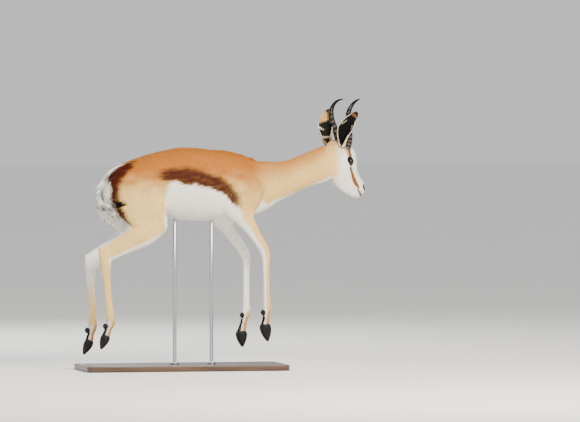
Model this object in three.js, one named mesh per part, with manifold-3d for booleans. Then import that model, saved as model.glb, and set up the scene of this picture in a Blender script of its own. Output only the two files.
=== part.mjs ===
// A young springbok in mid-leap, life size, on a plain display stand.
// Millimetres, +Z up. +X is the way that the animal faces and +Y is its left.
// The origin is at the middle of the underside of the stand's base.
import * as THREE from 'three';
import { mergeVertices } from 'three/addons/utils/BufferGeometryUtils.js';
import Module from 'manifold-3d';

const wasm = await Module();
wasm.setup();

// The clearance between two pieces that touch
const GAP = 0.45;
const FAR = 900;
const CAP_RINGS = 3;
const LEFT = [0, 1, 0];
const AHEAD = [1, 0, 0];
const SIDES = [['right', -1], ['left', 1]];

// Trunk and neck in one run from the rump to the nape: x, y, z, then up, down and half width
const TRUNK = [
  [-300, 0, 697, 42, 45, 50],
  [-280, 0, 699, 62, 60, 66],
  [-246, 0, 707, 85, 80, 79],
  [-205, 0, 713, 99, 95, 87],
  [-150, 0, 721, 111, 106, 91],
  [-86, 0, 726, 126, 124, 93],
  [-20, 0, 724, 142, 138, 97],
  [50, 0, 721, 144, 141, 101],
  [110, 0, 719, 139, 139, 99],
  [160, 0, 719, 136, 136, 94],
  [210, 0, 715, 128, 129, 85],
  [255, 0, 711, 119, 119, 75],
  [300, 1, 713, 110, 103, 63],
  [345, 6, 724, 90, 86, 54],
  [424, 19, 745, 69, 68, 45],
  [504, 37, 777, 62, 68, 41],
  [560, 50, 806, 57, 82, 38],
  [596, 58, 832, 44, 76, 30],
];
const NECK_START = { at: [322, 3, 717], along: [0.97, 0.05, 0.24] };

// The head hangs from the poll, turned to the left and dipped
const HEAD = { poll: [616, 62, 862], turn: 28, dip: 47 };
// Skull and muzzle: how far in front of the poll, then top, bottom and half width
const SKULL = [
  [4, 36, -42, 35],
  [30, 60, -68, 41],
  [56, 66, -84, 43],
  [80, 53, -92, 46],
  [104, 41, -95, 42],
  [130, 30, -90, 34],
  [160, 22, -79, 28],
  [188, 19, -67, 24],
  [210, 17, -58, 22],
  [226, 10, -49, 18],
];
const EYE = { at: [78.5, 37, 4], radius: 14, lid: 3.4, look: [0, 0.97, 0.16] };
// A nostril's hollow: its middle, how far it reaches along, out and up, and its slope in degrees
const NOSTRIL = { at: [213, 19, -3], size: [8.5, 5, 3.2], slope: 24 };
const MOUTH = { from: 192, to: 236, height: -33, slit: 2, deep: 3.5 };
// Each lip is a roll round the muzzle from the corner of the mouth: how far forward, out and thick
const LIP = {
  run: [
    [192, 20.2, 0.8], [200, 20.2, 2.2], [210, 19.2, 3.2],
    [219, 17.2, 3.3], [227.5, 12.5, 3.3], [231.5, 6, 3.3],
  ],
  front: [232.5, 0, 3.3],
  apart: 4.1,
};
const HORN = {
  // forward of the poll, out and up, then the radius
  path: [
    [34, 28, 36, 14.5],
    [16, 33, 59, 13.2],
    [-16, 41, 79, 12.4],
    [-51, 48, 97, 11.2],
    [-78, 53, 121, 9.8],
    [-88, 56, 150, 7.4],
    [-84, 55, 178, 4.6],
    [-73, 51, 198, 1.8],
  ],
  rings: 9,
  ringed: 0.62,
  ridge: 0.09,
};
// Both ears are turned so that the cup faces the animal's right. Each is a sheet rolled round its line
const EARS = {
  right: { base: [2, -40, 12], run: [[0, 0, 0], [2, -22, 51], [18, -40, 88], [48, -60, 131]] },
  left: { base: [2, 40, 12], run: [[0, 0, 0], [-7, 14, 51], [-5, 28, 98], [12, 40, 141]] },
};
const EAR_HALF = [11, 19, 26, 26, 19, 8];
const EAR_DEPTH = [11, 15, 15, 12, 8, 3];
// How far the sheet wraps round its line each way, in degrees, and how thick it is
const EAR_WRAP = [164, 126, 104, 96, 92, 88];
const EAR_WALL = [3.6, 3.2, 2.8, 2.4, 2, 1.6];
const EAR_FACES = [-0.25, -0.93, -0.1];
const EAR_GRID = { around: 18, rows: 13 };

// The shoulder with the upper arm: x, height, then front, rear, half width and how far out its middle is
const SHOULDER = [
  [212, 790, 47, 62, 22, 46],
  [212, 748, 82, 86, 33, 50],
  [214, 702, 102, 98, 38, 51],
  [214, 660, 94, 92, 39, 50],
  [216, 622, 70, 70, 36, 49],
  [224, 592, 52, 50, 30, 51],
];
const SHOULDER_SWING = { right: 0, left: -44 };
// Joints of each leg, from the top down
const FORELEG = {
  right: [[222, -56, 618], [323, -51, 456], [329, -47, 236], [322, -46, 167], [332, -46, 110]],
  left: [[158, 56, 608], [268, 52, 436], [265, 47, 222], [246, 46, 138], [250, 46, 86]],
};
// Bone number and how far along it, then front, rear and half width
const FORELEG_GIRTH = [
  [0, 0.0, 44, 50, 27],
  [0, 0.3, 31, 33, 21],
  [0, 0.62, 24, 22, 16],
  [0, 0.9, 21, 20, 15],
  [1, 0.05, 18.5, 18.5, 15],
  [1, 0.17, 15, 15, 12.5],
  [1, 0.5, 13.5, 13.5, 11],
  [1, 0.86, 15, 15, 13],
  [1, 1.0, 17, 17, 15],
  [2, 0.5, 13, 14, 13],
  [2, 1.0, 18, 20, 15],
];
const FORELEG_CUT = 0.9;

// The haunch: x, height, then front, half width and how far out its middle is
const HAUNCH = [
  [-200, 768, 52, 27, 50],
  [-200, 735, 98, 38, 55],
  [-200, 700, 123, 44, 58],
  [-200, 655, 129, 47, 58],
  [-200, 615, 131, 45, 58],
  [-196, 582, 130, 39, 57],
  [-178, 552, 110, 37, 56],
  [-158, 526, 70, 30, 56],
];
// How far each row reaches back. The right haunch is drawn in above its knee.
const HAUNCH_REAR = {
  right: [62, 100, 113, 106, 82, 44, 30, 26],
  left: [62, 100, 114, 116, 103, 76, 52, 34],
};
const HAUNCH_SWING = { right: 0, left: -40 };
const HINDLEG = {
  right: [[-128, -60, 555], [-318, -62, 449], [-291, -58, 188], [-312, -58, 131], [-330, -58, 86]],
  left: [[-150, 60, 540], [-351, 62, 418], [-341, 58, 168], [-356, 58, 107], [-377, 58, 61]],
};
const GASKIN_GIRTH = [
  [0, 0.0, 50, 56, 31],
  [0, 0.25, 52, 55, 35],
  [0, 0.5, 43, 42, 29],
  [0, 0.77, 36, 36, 21],
  [0, 0.95, 33, 36, 18],
];
// The hind cannon starts at the point of the hock, behind the joint
const HIND_GIRTH = [
  [1, -0.11, 4, 21, 9],
  [1, -0.04, 18, 21, 13],
  [1, 0.065, 26, 21, 17],
  [1, 0.145, 24, 21, 17],
  [1, 0.215, 20.5, 20.5, 16],
  [1, 0.29, 18, 18, 14.5],
  [1, 0.41, 15.5, 15.5, 12.5],
  [1, 0.56, 14.5, 14.5, 12],
  [1, 0.78, 15, 15, 12.5],
  [1, 0.94, 17, 17, 14.5],
  [1, 1.0, 17, 19, 15],
  [2, 0.5, 13, 15, 13],
  [2, 1.0, 17, 18, 15],
];
const HIND_CUT = 0.8;

// A claw narrows from the coronet to its point: how far down, half depth and half width.
// A fore claw is deeper than a hind claw.
const CLAW = [
  [-0.12, 17.5, 8.2],
  [0.1, 19.5, 9.4],
  [0.42, 16.5, 8.8],
  [0.72, 10, 6.6],
  [0.94, 3.6, 2.8],
];
const CLAW_APART = 10;
const CLAW_DEPTH = { foreleg: 1.06, hindleg: 0.84 };
const DEWCLAW = { radius: [8, 6, 11], behind: { foreleg: 15, hindleg: 22 }, apart: 9 };

const TAIL = [
  [-278, 0, 748, 12, 12, 13],
  [-306, -2, 732, 11, 10, 12],
  [-321, -8, 704, 9, 9, 11],
  [-325, -22, 676, 9, 9, 10],
  [-326, -48, 654, 9, 9, 10],
  [-313, -82, 643, 8, 8, 9],
  [-284, -103, 643, 6, 6, 7],
  [-262, -112, 646, 2, 2, 2],
];
// Locks of the tail, from white ones along its lower half to the black tuft at its end.
// Each kind has a count, where along the tail it grows, its length, width, thickness and spread.
const TAIL_LOCKS = [
  { count: 14, from: 0.42, to: 0.74, length: 26, width: 7, thick: 3, spread: 0.5 },
  { count: 14, from: 0.76, to: 0.97, length: 40, width: 7, thick: 3.4, spread: 0.85 },
];
const SEED = 11;

// The stand
const BASE = { length: 800, width: 320, height: 22, corner: 24, bevel: 3 };
const ROD = { radius: 7, collar: 17, collarHeight: 8, front: 118, rear: -28, top: 700 };

const COAT = { color: 0xd7a066, roughness: 0.85, metalness: 0 };
const FACE = { color: 0xf2e6d2, roughness: 0.85, metalness: 0 };
const LEG = { color: 0xe8c08c, roughness: 0.85, metalness: 0 };
const WHITE_HAIR = { color: 0xf3efe6, roughness: 0.9, metalness: 0 };
const HORN_BLACK = { color: 0x211d1b, roughness: 0.45, metalness: 0 };
const EYE_BLACK = { color: 0x120c09, roughness: 0.08, metalness: 0 };
const HOOF_BLACK = { color: 0x1b1816, roughness: 0.5, metalness: 0 };
const WOOD = { color: 0x4a3b30, roughness: 0.5, metalness: 0 };
const STEEL = { color: 0xb4b6b8, roughness: 0.35, metalness: 1 };

const springbok = new THREE.Group();

// A closed geometry as a solid, with shared corners merged by position alone
function solidOf(geometry) {
  geometry.deleteAttribute('normal');
  geometry.deleteAttribute('uv');
  const merged = mergeVertices(geometry);
  return new wasm.Manifold(new wasm.Mesh({
    numProp: 3,
    vertProperties: new Float32Array(merged.attributes.position.array),
    triVerts: new Uint32Array(merged.index.array),
  }));
}

const join = (...solids) => solids.reduce((all, one) => all.add(one));
const cut = (solid, ...tools) => tools.reduce((left, tool) => left.subtract(tool), solid);

// Only the largest closed surface of a cut solid is kept
function largest(solid) {
  const size = (piece) => Math.abs(piece.volume());
  return solid.decompose().reduce((best, piece) => (size(piece) > size(best) ? piece : best));
}

// Adds a named sub-part to the group
function addPart(name, solid, finish) {
  const { vertProperties, triVerts } = largest(solid).getMesh();
  const geometry = new THREE.BufferGeometry();
  geometry.setAttribute('position', new THREE.BufferAttribute(Float32Array.from(vertProperties), 3));
  geometry.setIndex(new THREE.BufferAttribute(Uint32Array.from(triVerts), 1));
  geometry.computeVertexNormals();
  const mesh = new THREE.Mesh(geometry, new THREE.MeshStandardMaterial(finish));
  mesh.name = name;
  springbok.add(mesh);
}

const smooth = (points) => new THREE.CatmullRomCurve3(points, false, 'catmullrom', 0.5);

// A body form carried along a smooth line through its rows: x, y, z, up, down and half width.
// A sphere's grid is wrapped round the line, and each end closes in a rounded cap.
// face keeps every section level instead of square to the line, keel narrows the lower half,
// and ripple swells or pinches the section along the line.
function loft(rows, options = {}) {
  const {
    side = LEFT, face, sides = 16, rings = 16, caps = [10, 10], capRings = CAP_RINGS,
    grow = 0, power = 2, keel = 0, ripple = () => 1,
  } = options;
  const centre = smooth(rows.map(([x, y, z]) => new THREE.Vector3(x, y, z)));
  const size = smooth(rows.map(([, , , up, down, half]) => new THREE.Vector3(up, down, half)));
  const geometry = new THREE.SphereGeometry(1, sides, rings);
  const place = geometry.attributes.position;
  const across = new THREE.Vector3();
  const lift = new THREE.Vector3();
  const swell = (value) => Math.sign(value) * Math.abs(value) ** (2 / power);
  for (let i = 0; i < place.count; i += 1) {
    const ring = Math.floor(i / (sides + 1));
    const turn = ((i % (sides + 1)) / sides) * Math.PI * 2;
    const opening = Math.min(ring / capRings, 1) * (Math.PI / 2);
    const closing = Math.min((rings - ring) / capRings, 1) * (Math.PI / 2);
    const t = THREE.MathUtils.clamp((ring - capRings) / (rings - 2 * capRings), 0, 1);
    const fill = Math.sin(opening) * Math.sin(closing);
    const run = (caps[1] + grow) * Math.cos(closing) - (caps[0] + grow) * Math.cos(opening);
    const tangent = centre.getTangent(t);
    across.fromArray(side);
    if (face) {
      lift.fromArray(face);
    } else {
      across.addScaledVector(tangent, -tangent.dot(across)).normalize();
      lift.crossVectors(tangent, across);
    }
    const reach = size.getPoint(t).multiplyScalar(ripple(t)).addScalar(grow);
    const over = swell(Math.sin(turn));
    const out = -swell(Math.cos(turn)) * (1 - keel * Math.max(0, -over));
    const point = centre.getPoint(t)
      .addScaledVector(tangent, run)
      .addScaledVector(across, out * reach.z * fill)
      .addScaledVector(lift, over * (over > 0 ? reach.x : reach.y) * fill);
    place.setXYZ(i, point.x, point.y, point.z);
  }
  return solidOf(geometry);
}

// Everything on the far side of a plane, as a block that cuts or keeps it
function halfSpace([x, y, z], [dx, dy, dz]) {
  const along = new THREE.Vector3(dx, dy, dz).normalize();
  const block = new THREE.BoxGeometry(2 * FAR, 2 * FAR, FAR);
  block.translate(0, 0, FAR / 2);
  block.applyQuaternion(new THREE.Quaternion().setFromUnitVectors(new THREE.Vector3(0, 0, 1), along));
  block.translate(x, y, z);
  return solidOf(block);
}

// The two blocks that part one solid into two with the clearance between them
function partingFaces(at, along) {
  const shifted = (far) => at.map((value, axis) => value + along[axis] * far);
  const back = along.map((value) => -value);
  return { beyond: halfSpace(shifted(-GAP / 2), along), before: halfSpace(shifted(GAP / 2), back) };
}

function ball([x, y, z], radius, sides = 14, rings = 10) {
  const [rx, ry, rz] = typeof radius === 'number' ? [radius, radius, radius] : radius;
  const geometry = new THREE.SphereGeometry(1, sides, rings);
  geometry.scale(rx, ry, rz);
  geometry.translate(x, y, z);
  return solidOf(geometry);
}

const mix = (a, b, f) => a.map((value, axis) => value + (b[axis] - value) * f);
const unit = (v) => new THREE.Vector3(...v).normalize().toArray();
const minus = (a, b) => a.map((value, axis) => value - b[axis]);

// The rows of a limb, placed along its bones by a table of girths
function jointed(joints, girths) {
  return girths.map(([bone, f, ...girth]) => [...mix(joints[bone], joints[bone + 1], f), ...girth]);
}

// The head's own directions: towards the nose, to its left and out of the forehead
const turn = THREE.MathUtils.degToRad(HEAD.turn);
const dip = THREE.MathUtils.degToRad(HEAD.dip);
const NOSEWARD = [Math.cos(dip) * Math.cos(turn), Math.cos(dip) * Math.sin(turn), -Math.sin(dip)];
const HEAD_LEFT = [-Math.sin(turn), Math.cos(turn), 0];
const CROWNWARD = [Math.sin(dip) * Math.cos(turn), Math.sin(dip) * Math.sin(turn), Math.cos(dip)];

function headVector([forward, left, up]) {
  return NOSEWARD.map((value, axis) => value * forward + HEAD_LEFT[axis] * left + CROWNWARD[axis] * up);
}

function headPoint(local) {
  return headVector(local).map((value, axis) => value + HEAD.poll[axis]);
}

// Trunk

const trunkLoft = (grow = 0) => loft(
  TRUNK,
  { sides: 20, rings: 29, caps: [14, 16], keel: 0.16, power: 2.1, grow },
);

// The rows of a limb's upper mass, swung forward or back with the leg
function swungRows(rows, swing, out) {
  const top = rows[0][1];
  const depth = top - rows[rows.length - 1][1];
  return rows.map(([x, z, front, rear, half, y]) => [
    x + swing * ((top - z) / depth) ** 2, out * y, z, front, rear, half,
  ]);
}

function shoulderLoft(name, out, grow = 0) {
  const rows = swungRows(SHOULDER, SHOULDER_SWING[name], out);
  return loft(rows, { face: AHEAD, sides: 14, rings: 13, caps: [18, 20], grow });
}

function foreLimb(name, grow = 0) {
  return loft(jointed(FORELEG[name], FORELEG_GIRTH), { sides: 10, rings: 22, caps: [24, 5], grow });
}

function haunchLoft(name, out, grow = 0) {
  const table = HAUNCH.map(([x, z, front, half, y], i) => [x, z, front, HAUNCH_REAR[name][i], half, y]);
  const rows = swungRows(table, HAUNCH_SWING[name], out);
  return loft(rows, { face: AHEAD, sides: 16, rings: 15, caps: [18, 12], grow });
}

function hindLimb(name, grow = 0) {
  const gaskin = loft(jointed(HINDLEG[name], GASKIN_GIRTH), { sides: 12, rings: 12, caps: [30, 16], grow });
  return gaskin.add(loft(jointed(HINDLEG[name], HIND_GIRTH), { sides: 10, rings: 21, caps: [8, 5], grow }));
}

function limbs(grow) {
  return SIDES.flatMap(([name, out]) => [
    shoulderLoft(name, out, grow), foreLimb(name, grow), haunchLoft(name, out, grow), hindLimb(name, grow),
  ]);
}

// Head

const skullLoft = (grow = 0) => loft(
  SKULL.map(([forward, top, bottom, half]) => {
    const middle = (top + bottom) / 2;
    const deep = (top - bottom) / 2;
    return [...headPoint([forward, 0, middle]), deep, deep, half];
  }),
  { side: HEAD_LEFT, sides: 24, rings: 24, caps: [30, 9], power: 2.3, keel: 0.3, grow },
);

function nostril(out) {
  const { at, size, slope } = NOSTRIL;
  const hole = new THREE.SphereGeometry(1, 12, 8);
  hole.scale(...size);
  hole.rotateY(THREE.MathUtils.degToRad(slope));
  hole.applyMatrix4(new THREE.Matrix4().makeBasis(
    ...[NOSEWARD, HEAD_LEFT, CROWNWARD].map((direction) => new THREE.Vector3(...direction)),
  ));
  hole.translate(...headPoint([at[0], out * at[1], at[2]]));
  return solidOf(hole);
}

const eyeAt = (out) => headPoint([EYE.at[0], out * EYE.at[1], EYE.at[2]]);
const eyeBall = (out, grow = 0) => ball(eyeAt(out), EYE.radius + grow, 14, 10);

// The lids are a soft ring round the eye
function lids(out) {
  const look = unit(headVector([EYE.look[0], out * EYE.look[1], EYE.look[2]]));
  const ring = new THREE.TorusGeometry(EYE.radius - 1.2, EYE.lid, 6, 16);
  ring.scale(1.1, 0.86, 1);
  const ahead = new THREE.Vector3(0, 0, 1);
  ring.applyQuaternion(new THREE.Quaternion().setFromUnitVectors(ahead, new THREE.Vector3(...look)));
  ring.translate(...eyeAt(out).map((value, axis) => value + look[axis] * EYE.radius * 0.42));
  return solidOf(ring);
}

// The slit between the lips follows the surface of the muzzle at an even depth
function mouthSlit() {
  const { from, to, height, slit, deep } = MOUTH;
  const rows = [from, (from + to) / 2, to].map((forward) => (
    [...headPoint([forward, 0, height]), slit / 2, slit / 2, 40]
  ));
  const slot = loft(rows, { side: HEAD_LEFT, sides: 12, rings: 9, caps: [4, 8], power: 3 });
  return slot.subtract(skullLoft(-deep));
}

function lip(above) {
  const { run, front, apart } = LIP;
  const half = (out) => run.map(([forward, left, thick]) => [forward, out * left, thick]);
  const rows = [...half(1), front, ...half(-1).reverse()].map(([forward, left, thick]) => (
    [...headPoint([forward, left, MOUTH.height + above * apart]), thick, thick, thick]
  ));
  return loft(rows, { side: CROWNWARD, sides: 6, rings: 15, caps: [2, 2], capRings: 1 });
}

function hornLoft(out, grow = 0) {
  const rows = HORN.path.map(([forward, left, up, radius]) => (
    [...headPoint([forward, out * left, up]), radius, radius, radius]
  ));
  const ripple = (t) => {
    const fade = THREE.MathUtils.smoothstep(HORN.ringed + 0.08 - t, 0, 0.16);
    return 1 + HORN.ridge * fade * Math.cos((t / HORN.ringed) * HORN.rings * Math.PI * 2);
  };
  return loft(rows, { side: HEAD_LEFT, sides: 8, rings: 31, caps: [6, 2], ripple, grow });
}

// An ear is one sheet rolled round its line: nearly a tube at its root, an open cup above, then a point
function earSolid(name) {
  const { base, run } = EARS[name];
  const root = headPoint(base);
  const line = smooth(run.map((step) => new THREE.Vector3(...step.map((v, axis) => v + root[axis]))));
  const sizes = smooth(EAR_HALF.map((half, i) => new THREE.Vector3(half, EAR_DEPTH[i], EAR_WALL[i])));
  const wraps = smooth(EAR_WRAP.map((degrees) => new THREE.Vector3(THREE.MathUtils.degToRad(degrees), 0, 0)));
  const axis = unit(minus(run[run.length - 1], run[0]));
  const side = new THREE.Vector3(...EAR_FACES).cross(new THREE.Vector3(...axis)).normalize();
  const faces = new THREE.Vector3(...axis).cross(side);
  const [around, rows] = [EAR_GRID.around, EAR_GRID.rows];
  const points = [];
  const faceRows = [];
  for (let row = 0; row < rows; row += 1) {
    const t = row / (rows - 1);
    const close = Math.sqrt(1 - 0.94 * THREE.MathUtils.clamp((t - 0.86) / 0.14, 0, 1) ** 2);
    const [half, depth, wall] = sizes.getPoint(t).toArray();
    const wrap = wraps.getPoint(t).x;
    for (let i = 0; i < around; i += 1) {
      const round = (i / around) * Math.PI * 2;
      const angle = wrap * Math.cos(round) * close;
      const offset = 0.5 * wall * Math.sign(Math.sin(round)) * Math.abs(Math.sin(round)) ** 0.4;
      const point = line.getPoint(t)
        .addScaledVector(side, Math.sin(angle) * (half + offset))
        .addScaledVector(faces, -Math.cos(angle) * (depth + offset));
      points.push(point.x, point.y, point.z);
      if (row > 0) {
        const [here, next] = [row * around + i, row * around + ((i + 1) % around)];
        faceRows.push(here, next, next - around, here, next - around, here - around);
      }
    }
  }
  const last = (rows - 1) * around;
  for (let i = 0; i < around / 2; i += 1) {
    const [a, b, c, d] = [i, i + 1, around - i - 1, (around - i) % around];
    const strip = [[a, b, c], [a, c, d]].filter((corners) => new Set(corners).size === 3);
    strip.forEach(([p, q, r]) => faceRows.push(p, q, r, last + p, last + r, last + q));
  }
  return new wasm.Manifold(new wasm.Mesh({
    numProp: 3, vertProperties: new Float32Array(points), triVerts: new Uint32Array(faceRows),
  }));
}

// Feet

function claw(leg, joints, inner) {
  const [coronet, toe] = joints.slice(-2);
  const rows = CLAW.map(([f, deep, half]) => {
    const [x, y, z] = mix(coronet, toe, f);
    const reach = deep * CLAW_DEPTH[leg];
    return [x, y + inner * CLAW_APART, z, reach, reach, half];
  });
  return loft(rows, { sides: 8, rings: 9, caps: [4, 3], power: 2.4 });
}

function dewclaw(leg, joints, inner) {
  const [x, y, z] = joints[joints.length - 3];
  return ball([x - DEWCLAW.behind[leg], y + inner * DEWCLAW.apart, z - 14], DEWCLAW.radius, 6, 5);
}

// Tail

const tailLoft = (grow = 0) => loft(TAIL, { sides: 8, rings: 15, caps: [8, 6], grow });

// A seeded run of chances between 0 and 1
function chances(seed) {
  let state = seed;
  return () => {
    state = (Math.imul(state, 1664525) + 1013904223) % 4294967296;
    return (state >>> 0) / 4294967296;
  };
}

// Long flat locks, rooted in the tail's line. Each leans out from it, then bends back along it.
function tailLocks() {
  const chance = chances(SEED);
  const line = smooth(TAIL.map(([x, y, z]) => new THREE.Vector3(x, y, z)));
  return TAIL_LOCKS.flatMap(({ count, from, to, length, width, thick, spread }) => (
    Array.from({ length: count }, (_, i) => {
      const t = from + ((to - from) * (i + 0.6 * chance())) / count;
      const tangent = line.getTangent(t);
      const across = new THREE.Vector3(...LEFT).addScaledVector(tangent, -tangent.y).normalize();
      const round = (i + 0.3 * chance()) * 2.4;
      const outward = new THREE.Vector3().crossVectors(tangent, across).multiplyScalar(Math.sin(round))
        .addScaledVector(across, Math.cos(round));
      const side = new THREE.Vector3().crossVectors(tangent, outward).toArray();
      const reach = length * (0.8 + 0.4 * chance());
      const rows = [[0, 0, 0.4, 1], [0.4, 0.34, 0.5, 0.8], [0.75, 0.5, 0.36, 0.55], [1, 0.5, 0.12, 0.3]].map(
        ([far, lean, wide, deep]) => [
          ...line.getPoint(t)
            .addScaledVector(tangent, far * reach)
            .addScaledVector(outward, lean * spread * reach),
          (deep * thick) / 2, (deep * thick) / 2, wide * width,
        ],
      );
      return loft(rows, { side, sides: 4, rings: 5, capRings: 1, caps: [1, 2] });
    })
  ));
}

// Stand

function standBase() {
  const [halfLength, halfWidth] = [BASE.length / 2 - BASE.bevel, BASE.width / 2 - BASE.bevel];
  const outline = new THREE.Shape();
  const corner = BASE.corner;
  [[1, 1, 0], [-1, 1, 1], [-1, -1, 2], [1, -1, 3]].forEach(([sx, sy, quarter]) => {
    const from = (quarter * Math.PI) / 2;
    outline.absarc(sx * (halfLength - corner), sy * (halfWidth - corner), corner, from, from + Math.PI / 2);
  });
  outline.closePath();
  const board = new THREE.ExtrudeGeometry(outline, {
    depth: BASE.height - BASE.bevel, bevelThickness: BASE.bevel, bevelSize: BASE.bevel,
    bevelSegments: 2, curveSegments: 6, steps: 1,
  });
  return solidOf(board).intersect(halfSpace([0, 0, 0], [0, 0, 1]));
}

// A rod with a turned collar at its foot
function rod(x) {
  const foot = BASE.height + GAP;
  const shoulder = foot + ROD.collarHeight;
  const profile = [
    [0, foot], [ROD.collar, foot], [ROD.collar, shoulder - 2], [ROD.collar - 2, shoulder],
    [ROD.radius, shoulder], [ROD.radius, ROD.top], [0, ROD.top],
  ].map(([radius, height]) => new THREE.Vector2(radius, height));
  const turned = new THREE.LatheGeometry(profile, 20);
  turned.rotateX(Math.PI / 2);
  turned.translate(x, 0, 0);
  return solidOf(turned);
}

// Parting faces, and the pieces

const neckFaces = partingFaces(NECK_START.at, unit(NECK_START.along));
const trunk = trunkLoft();
const skullGrown = skullLoft(GAP);
const trunkGrown = trunkLoft(GAP);

const grownLimbs = limbs(GAP);
addPart('torso', cut(trunk, neckFaces.beyond, ...grownLimbs, tailLoft(GAP)), COAT);
addPart('neck', cut(trunk, neckFaces.before, skullGrown, ...grownLimbs), COAT);
const haunchesGrown = SIDES.map(([name, out]) => haunchLoft(name, out, GAP));
const hair = cut(join(...tailLocks()), trunkGrown);
addPart('tail', cut(join(tailLoft(), hair), ...haunchesGrown), WHITE_HAIR);

const eyes = SIDES.map(([, out]) => eyeBall(out, GAP));
const skull = join(skullLoft(), lip(1), lip(-1), ...SIDES.map(([, out]) => lids(out)));
const nostrils = SIDES.map(([, out]) => nostril(out));
addPart('head', cut(skull, ...eyes, mouthSlit(), ...nostrils), FACE);

SIDES.forEach(([name, out]) => {
  const headFree = (solid) => cut(solid, skullGrown, trunkGrown);
  addPart(`eye_${name}`, eyeBall(out), EYE_BLACK);
  addPart(`horn_${name}`, headFree(hornLoft(out)), HORN_BLACK);
  addPart(`ear_${name}`, cut(headFree(earSolid(name)), hornLoft(out, GAP)), COAT);

  const fore = FORELEG[name];
  const foreFaces = partingFaces(mix(fore[0], fore[1], FORELEG_CUT), unit(minus(fore[1], fore[0])));
  const arm = shoulderLoft(name, out).add(foreLimb(name));
  addPart(`foreleg_${name}_shoulder`, cut(arm, foreFaces.beyond), COAT);
  const foreCannon = cut(foreLimb(name), foreFaces.before);
  addPart(`foreleg_${name}_cannon`, foreCannon, LEG);

  const hind = HINDLEG[name];
  const hindFaces = partingFaces(mix(hind[0], hind[1], HIND_CUT), unit(minus(hind[1], hind[0])));
  addPart(`hindleg_${name}_thigh`, cut(haunchLoft(name, out).add(hindLimb(name)), hindFaces.beyond), COAT);
  addPart(`hindleg_${name}_cannon`, cut(hindLimb(name), hindFaces.before), LEG);

  [['foreleg', fore, foreLimb], ['hindleg', hind, hindLimb]].forEach(([leg, joints, limb]) => {
    const flesh = limb(name, GAP);
    [['outer', out], ['inner', -out]].forEach(([which, inner]) => {
      addPart(`${leg}_${name}_hoof_${which}`, cut(claw(leg, joints, inner), flesh), HOOF_BLACK);
      addPart(`${leg}_${name}_dewclaw_${which}`, cut(dewclaw(leg, joints, inner), flesh), HOOF_BLACK);
    });
  });
});

addPart('stand_base', standBase(), WOOD);
addPart('stand_rod_front', rod(ROD.front).subtract(trunkGrown), STEEL);
addPart('stand_rod_rear', rod(ROD.rear).subtract(trunkGrown), STEEL);

export default springbok;
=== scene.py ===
"""A young springbok in mid-leap, life size, on a plain display stand.

Metres, +Z up, +X the way that the animal faces and +Y its left, as in the CAD frame. The skin is one
surface fused from the body's own forms. The coat over it is small closed tufts of hair, and skin and
coat take their markings from the same functions of where a point lies on the body.
"""

import logging
import math
from dataclasses import dataclass, field
from enum import Enum
from typing import Callable, Sequence

import bpy
import numpy as np
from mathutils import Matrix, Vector


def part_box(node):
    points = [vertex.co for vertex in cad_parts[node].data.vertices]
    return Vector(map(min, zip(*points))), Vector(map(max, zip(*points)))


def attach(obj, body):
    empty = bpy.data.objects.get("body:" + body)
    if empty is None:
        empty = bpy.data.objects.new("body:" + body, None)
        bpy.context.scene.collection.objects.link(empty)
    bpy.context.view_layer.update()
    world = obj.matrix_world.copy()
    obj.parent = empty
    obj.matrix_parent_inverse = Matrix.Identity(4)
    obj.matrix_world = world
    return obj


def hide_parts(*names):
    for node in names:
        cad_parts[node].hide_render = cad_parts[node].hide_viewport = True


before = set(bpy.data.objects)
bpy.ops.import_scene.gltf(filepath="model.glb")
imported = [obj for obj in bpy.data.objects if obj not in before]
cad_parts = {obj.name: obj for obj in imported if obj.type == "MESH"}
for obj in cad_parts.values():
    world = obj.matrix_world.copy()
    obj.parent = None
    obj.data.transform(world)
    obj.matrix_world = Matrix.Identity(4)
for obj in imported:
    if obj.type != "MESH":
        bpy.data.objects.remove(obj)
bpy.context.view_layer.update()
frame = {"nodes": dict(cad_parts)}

log = logging.getLogger("springbok")
MM = 0.001
SEED = 7
BODY = "root"
Rows = tuple[tuple[float, ...], ...]
Point = tuple[float, float, float]
Marks = tuple[np.ndarray, np.ndarray, np.ndarray, np.ndarray]


class Flank(Enum):
    """The two sides of the animal, as the sign of their Y."""

    RIGHT = -1
    LEFT = 1

    @property
    def word(self) -> str:
        """The side's name in the CAD nodes."""
        return self.name.lower()


# Small mathematics


def smoothstep(low: float, high: float, value: np.ndarray) -> np.ndarray:
    """A soft step from 0 at low to 1 at high: 3x squared less 2x cubed."""
    x = np.clip((value - low) / (high - low), 0.0, 1.0)
    return x * x * (3.0 - 2.0 * x)


def fall(low: float, high: float, value: np.ndarray) -> np.ndarray:
    """A soft step from 1 at low to 0 at high."""
    return 1.0 - smoothstep(low, high, value)


def bell(*shares: np.ndarray) -> np.ndarray:
    """A bell, 1 where all the shares are 0: e to the power of minus the sum of their squares."""
    return np.exp(-sum(share ** 2 for share in shares))


def between(low: float, high: float, soft: float, value: np.ndarray) -> np.ndarray:
    """1 between low and high, falling softly to 0 over a width of soft outside them."""
    return smoothstep(low - soft, low, value) * fall(high, high + soft, value)


def unit(vectors: np.ndarray) -> np.ndarray:
    """The vectors at a length of one, along their last axis."""
    return vectors / np.maximum(np.linalg.norm(vectors, axis=-1, keepdims=True), 1e-12)


def dot(a: np.ndarray, b: np.ndarray) -> np.ndarray:
    """The scalar product of each pair of rows."""
    return (a * b).sum(axis=-1)


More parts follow.
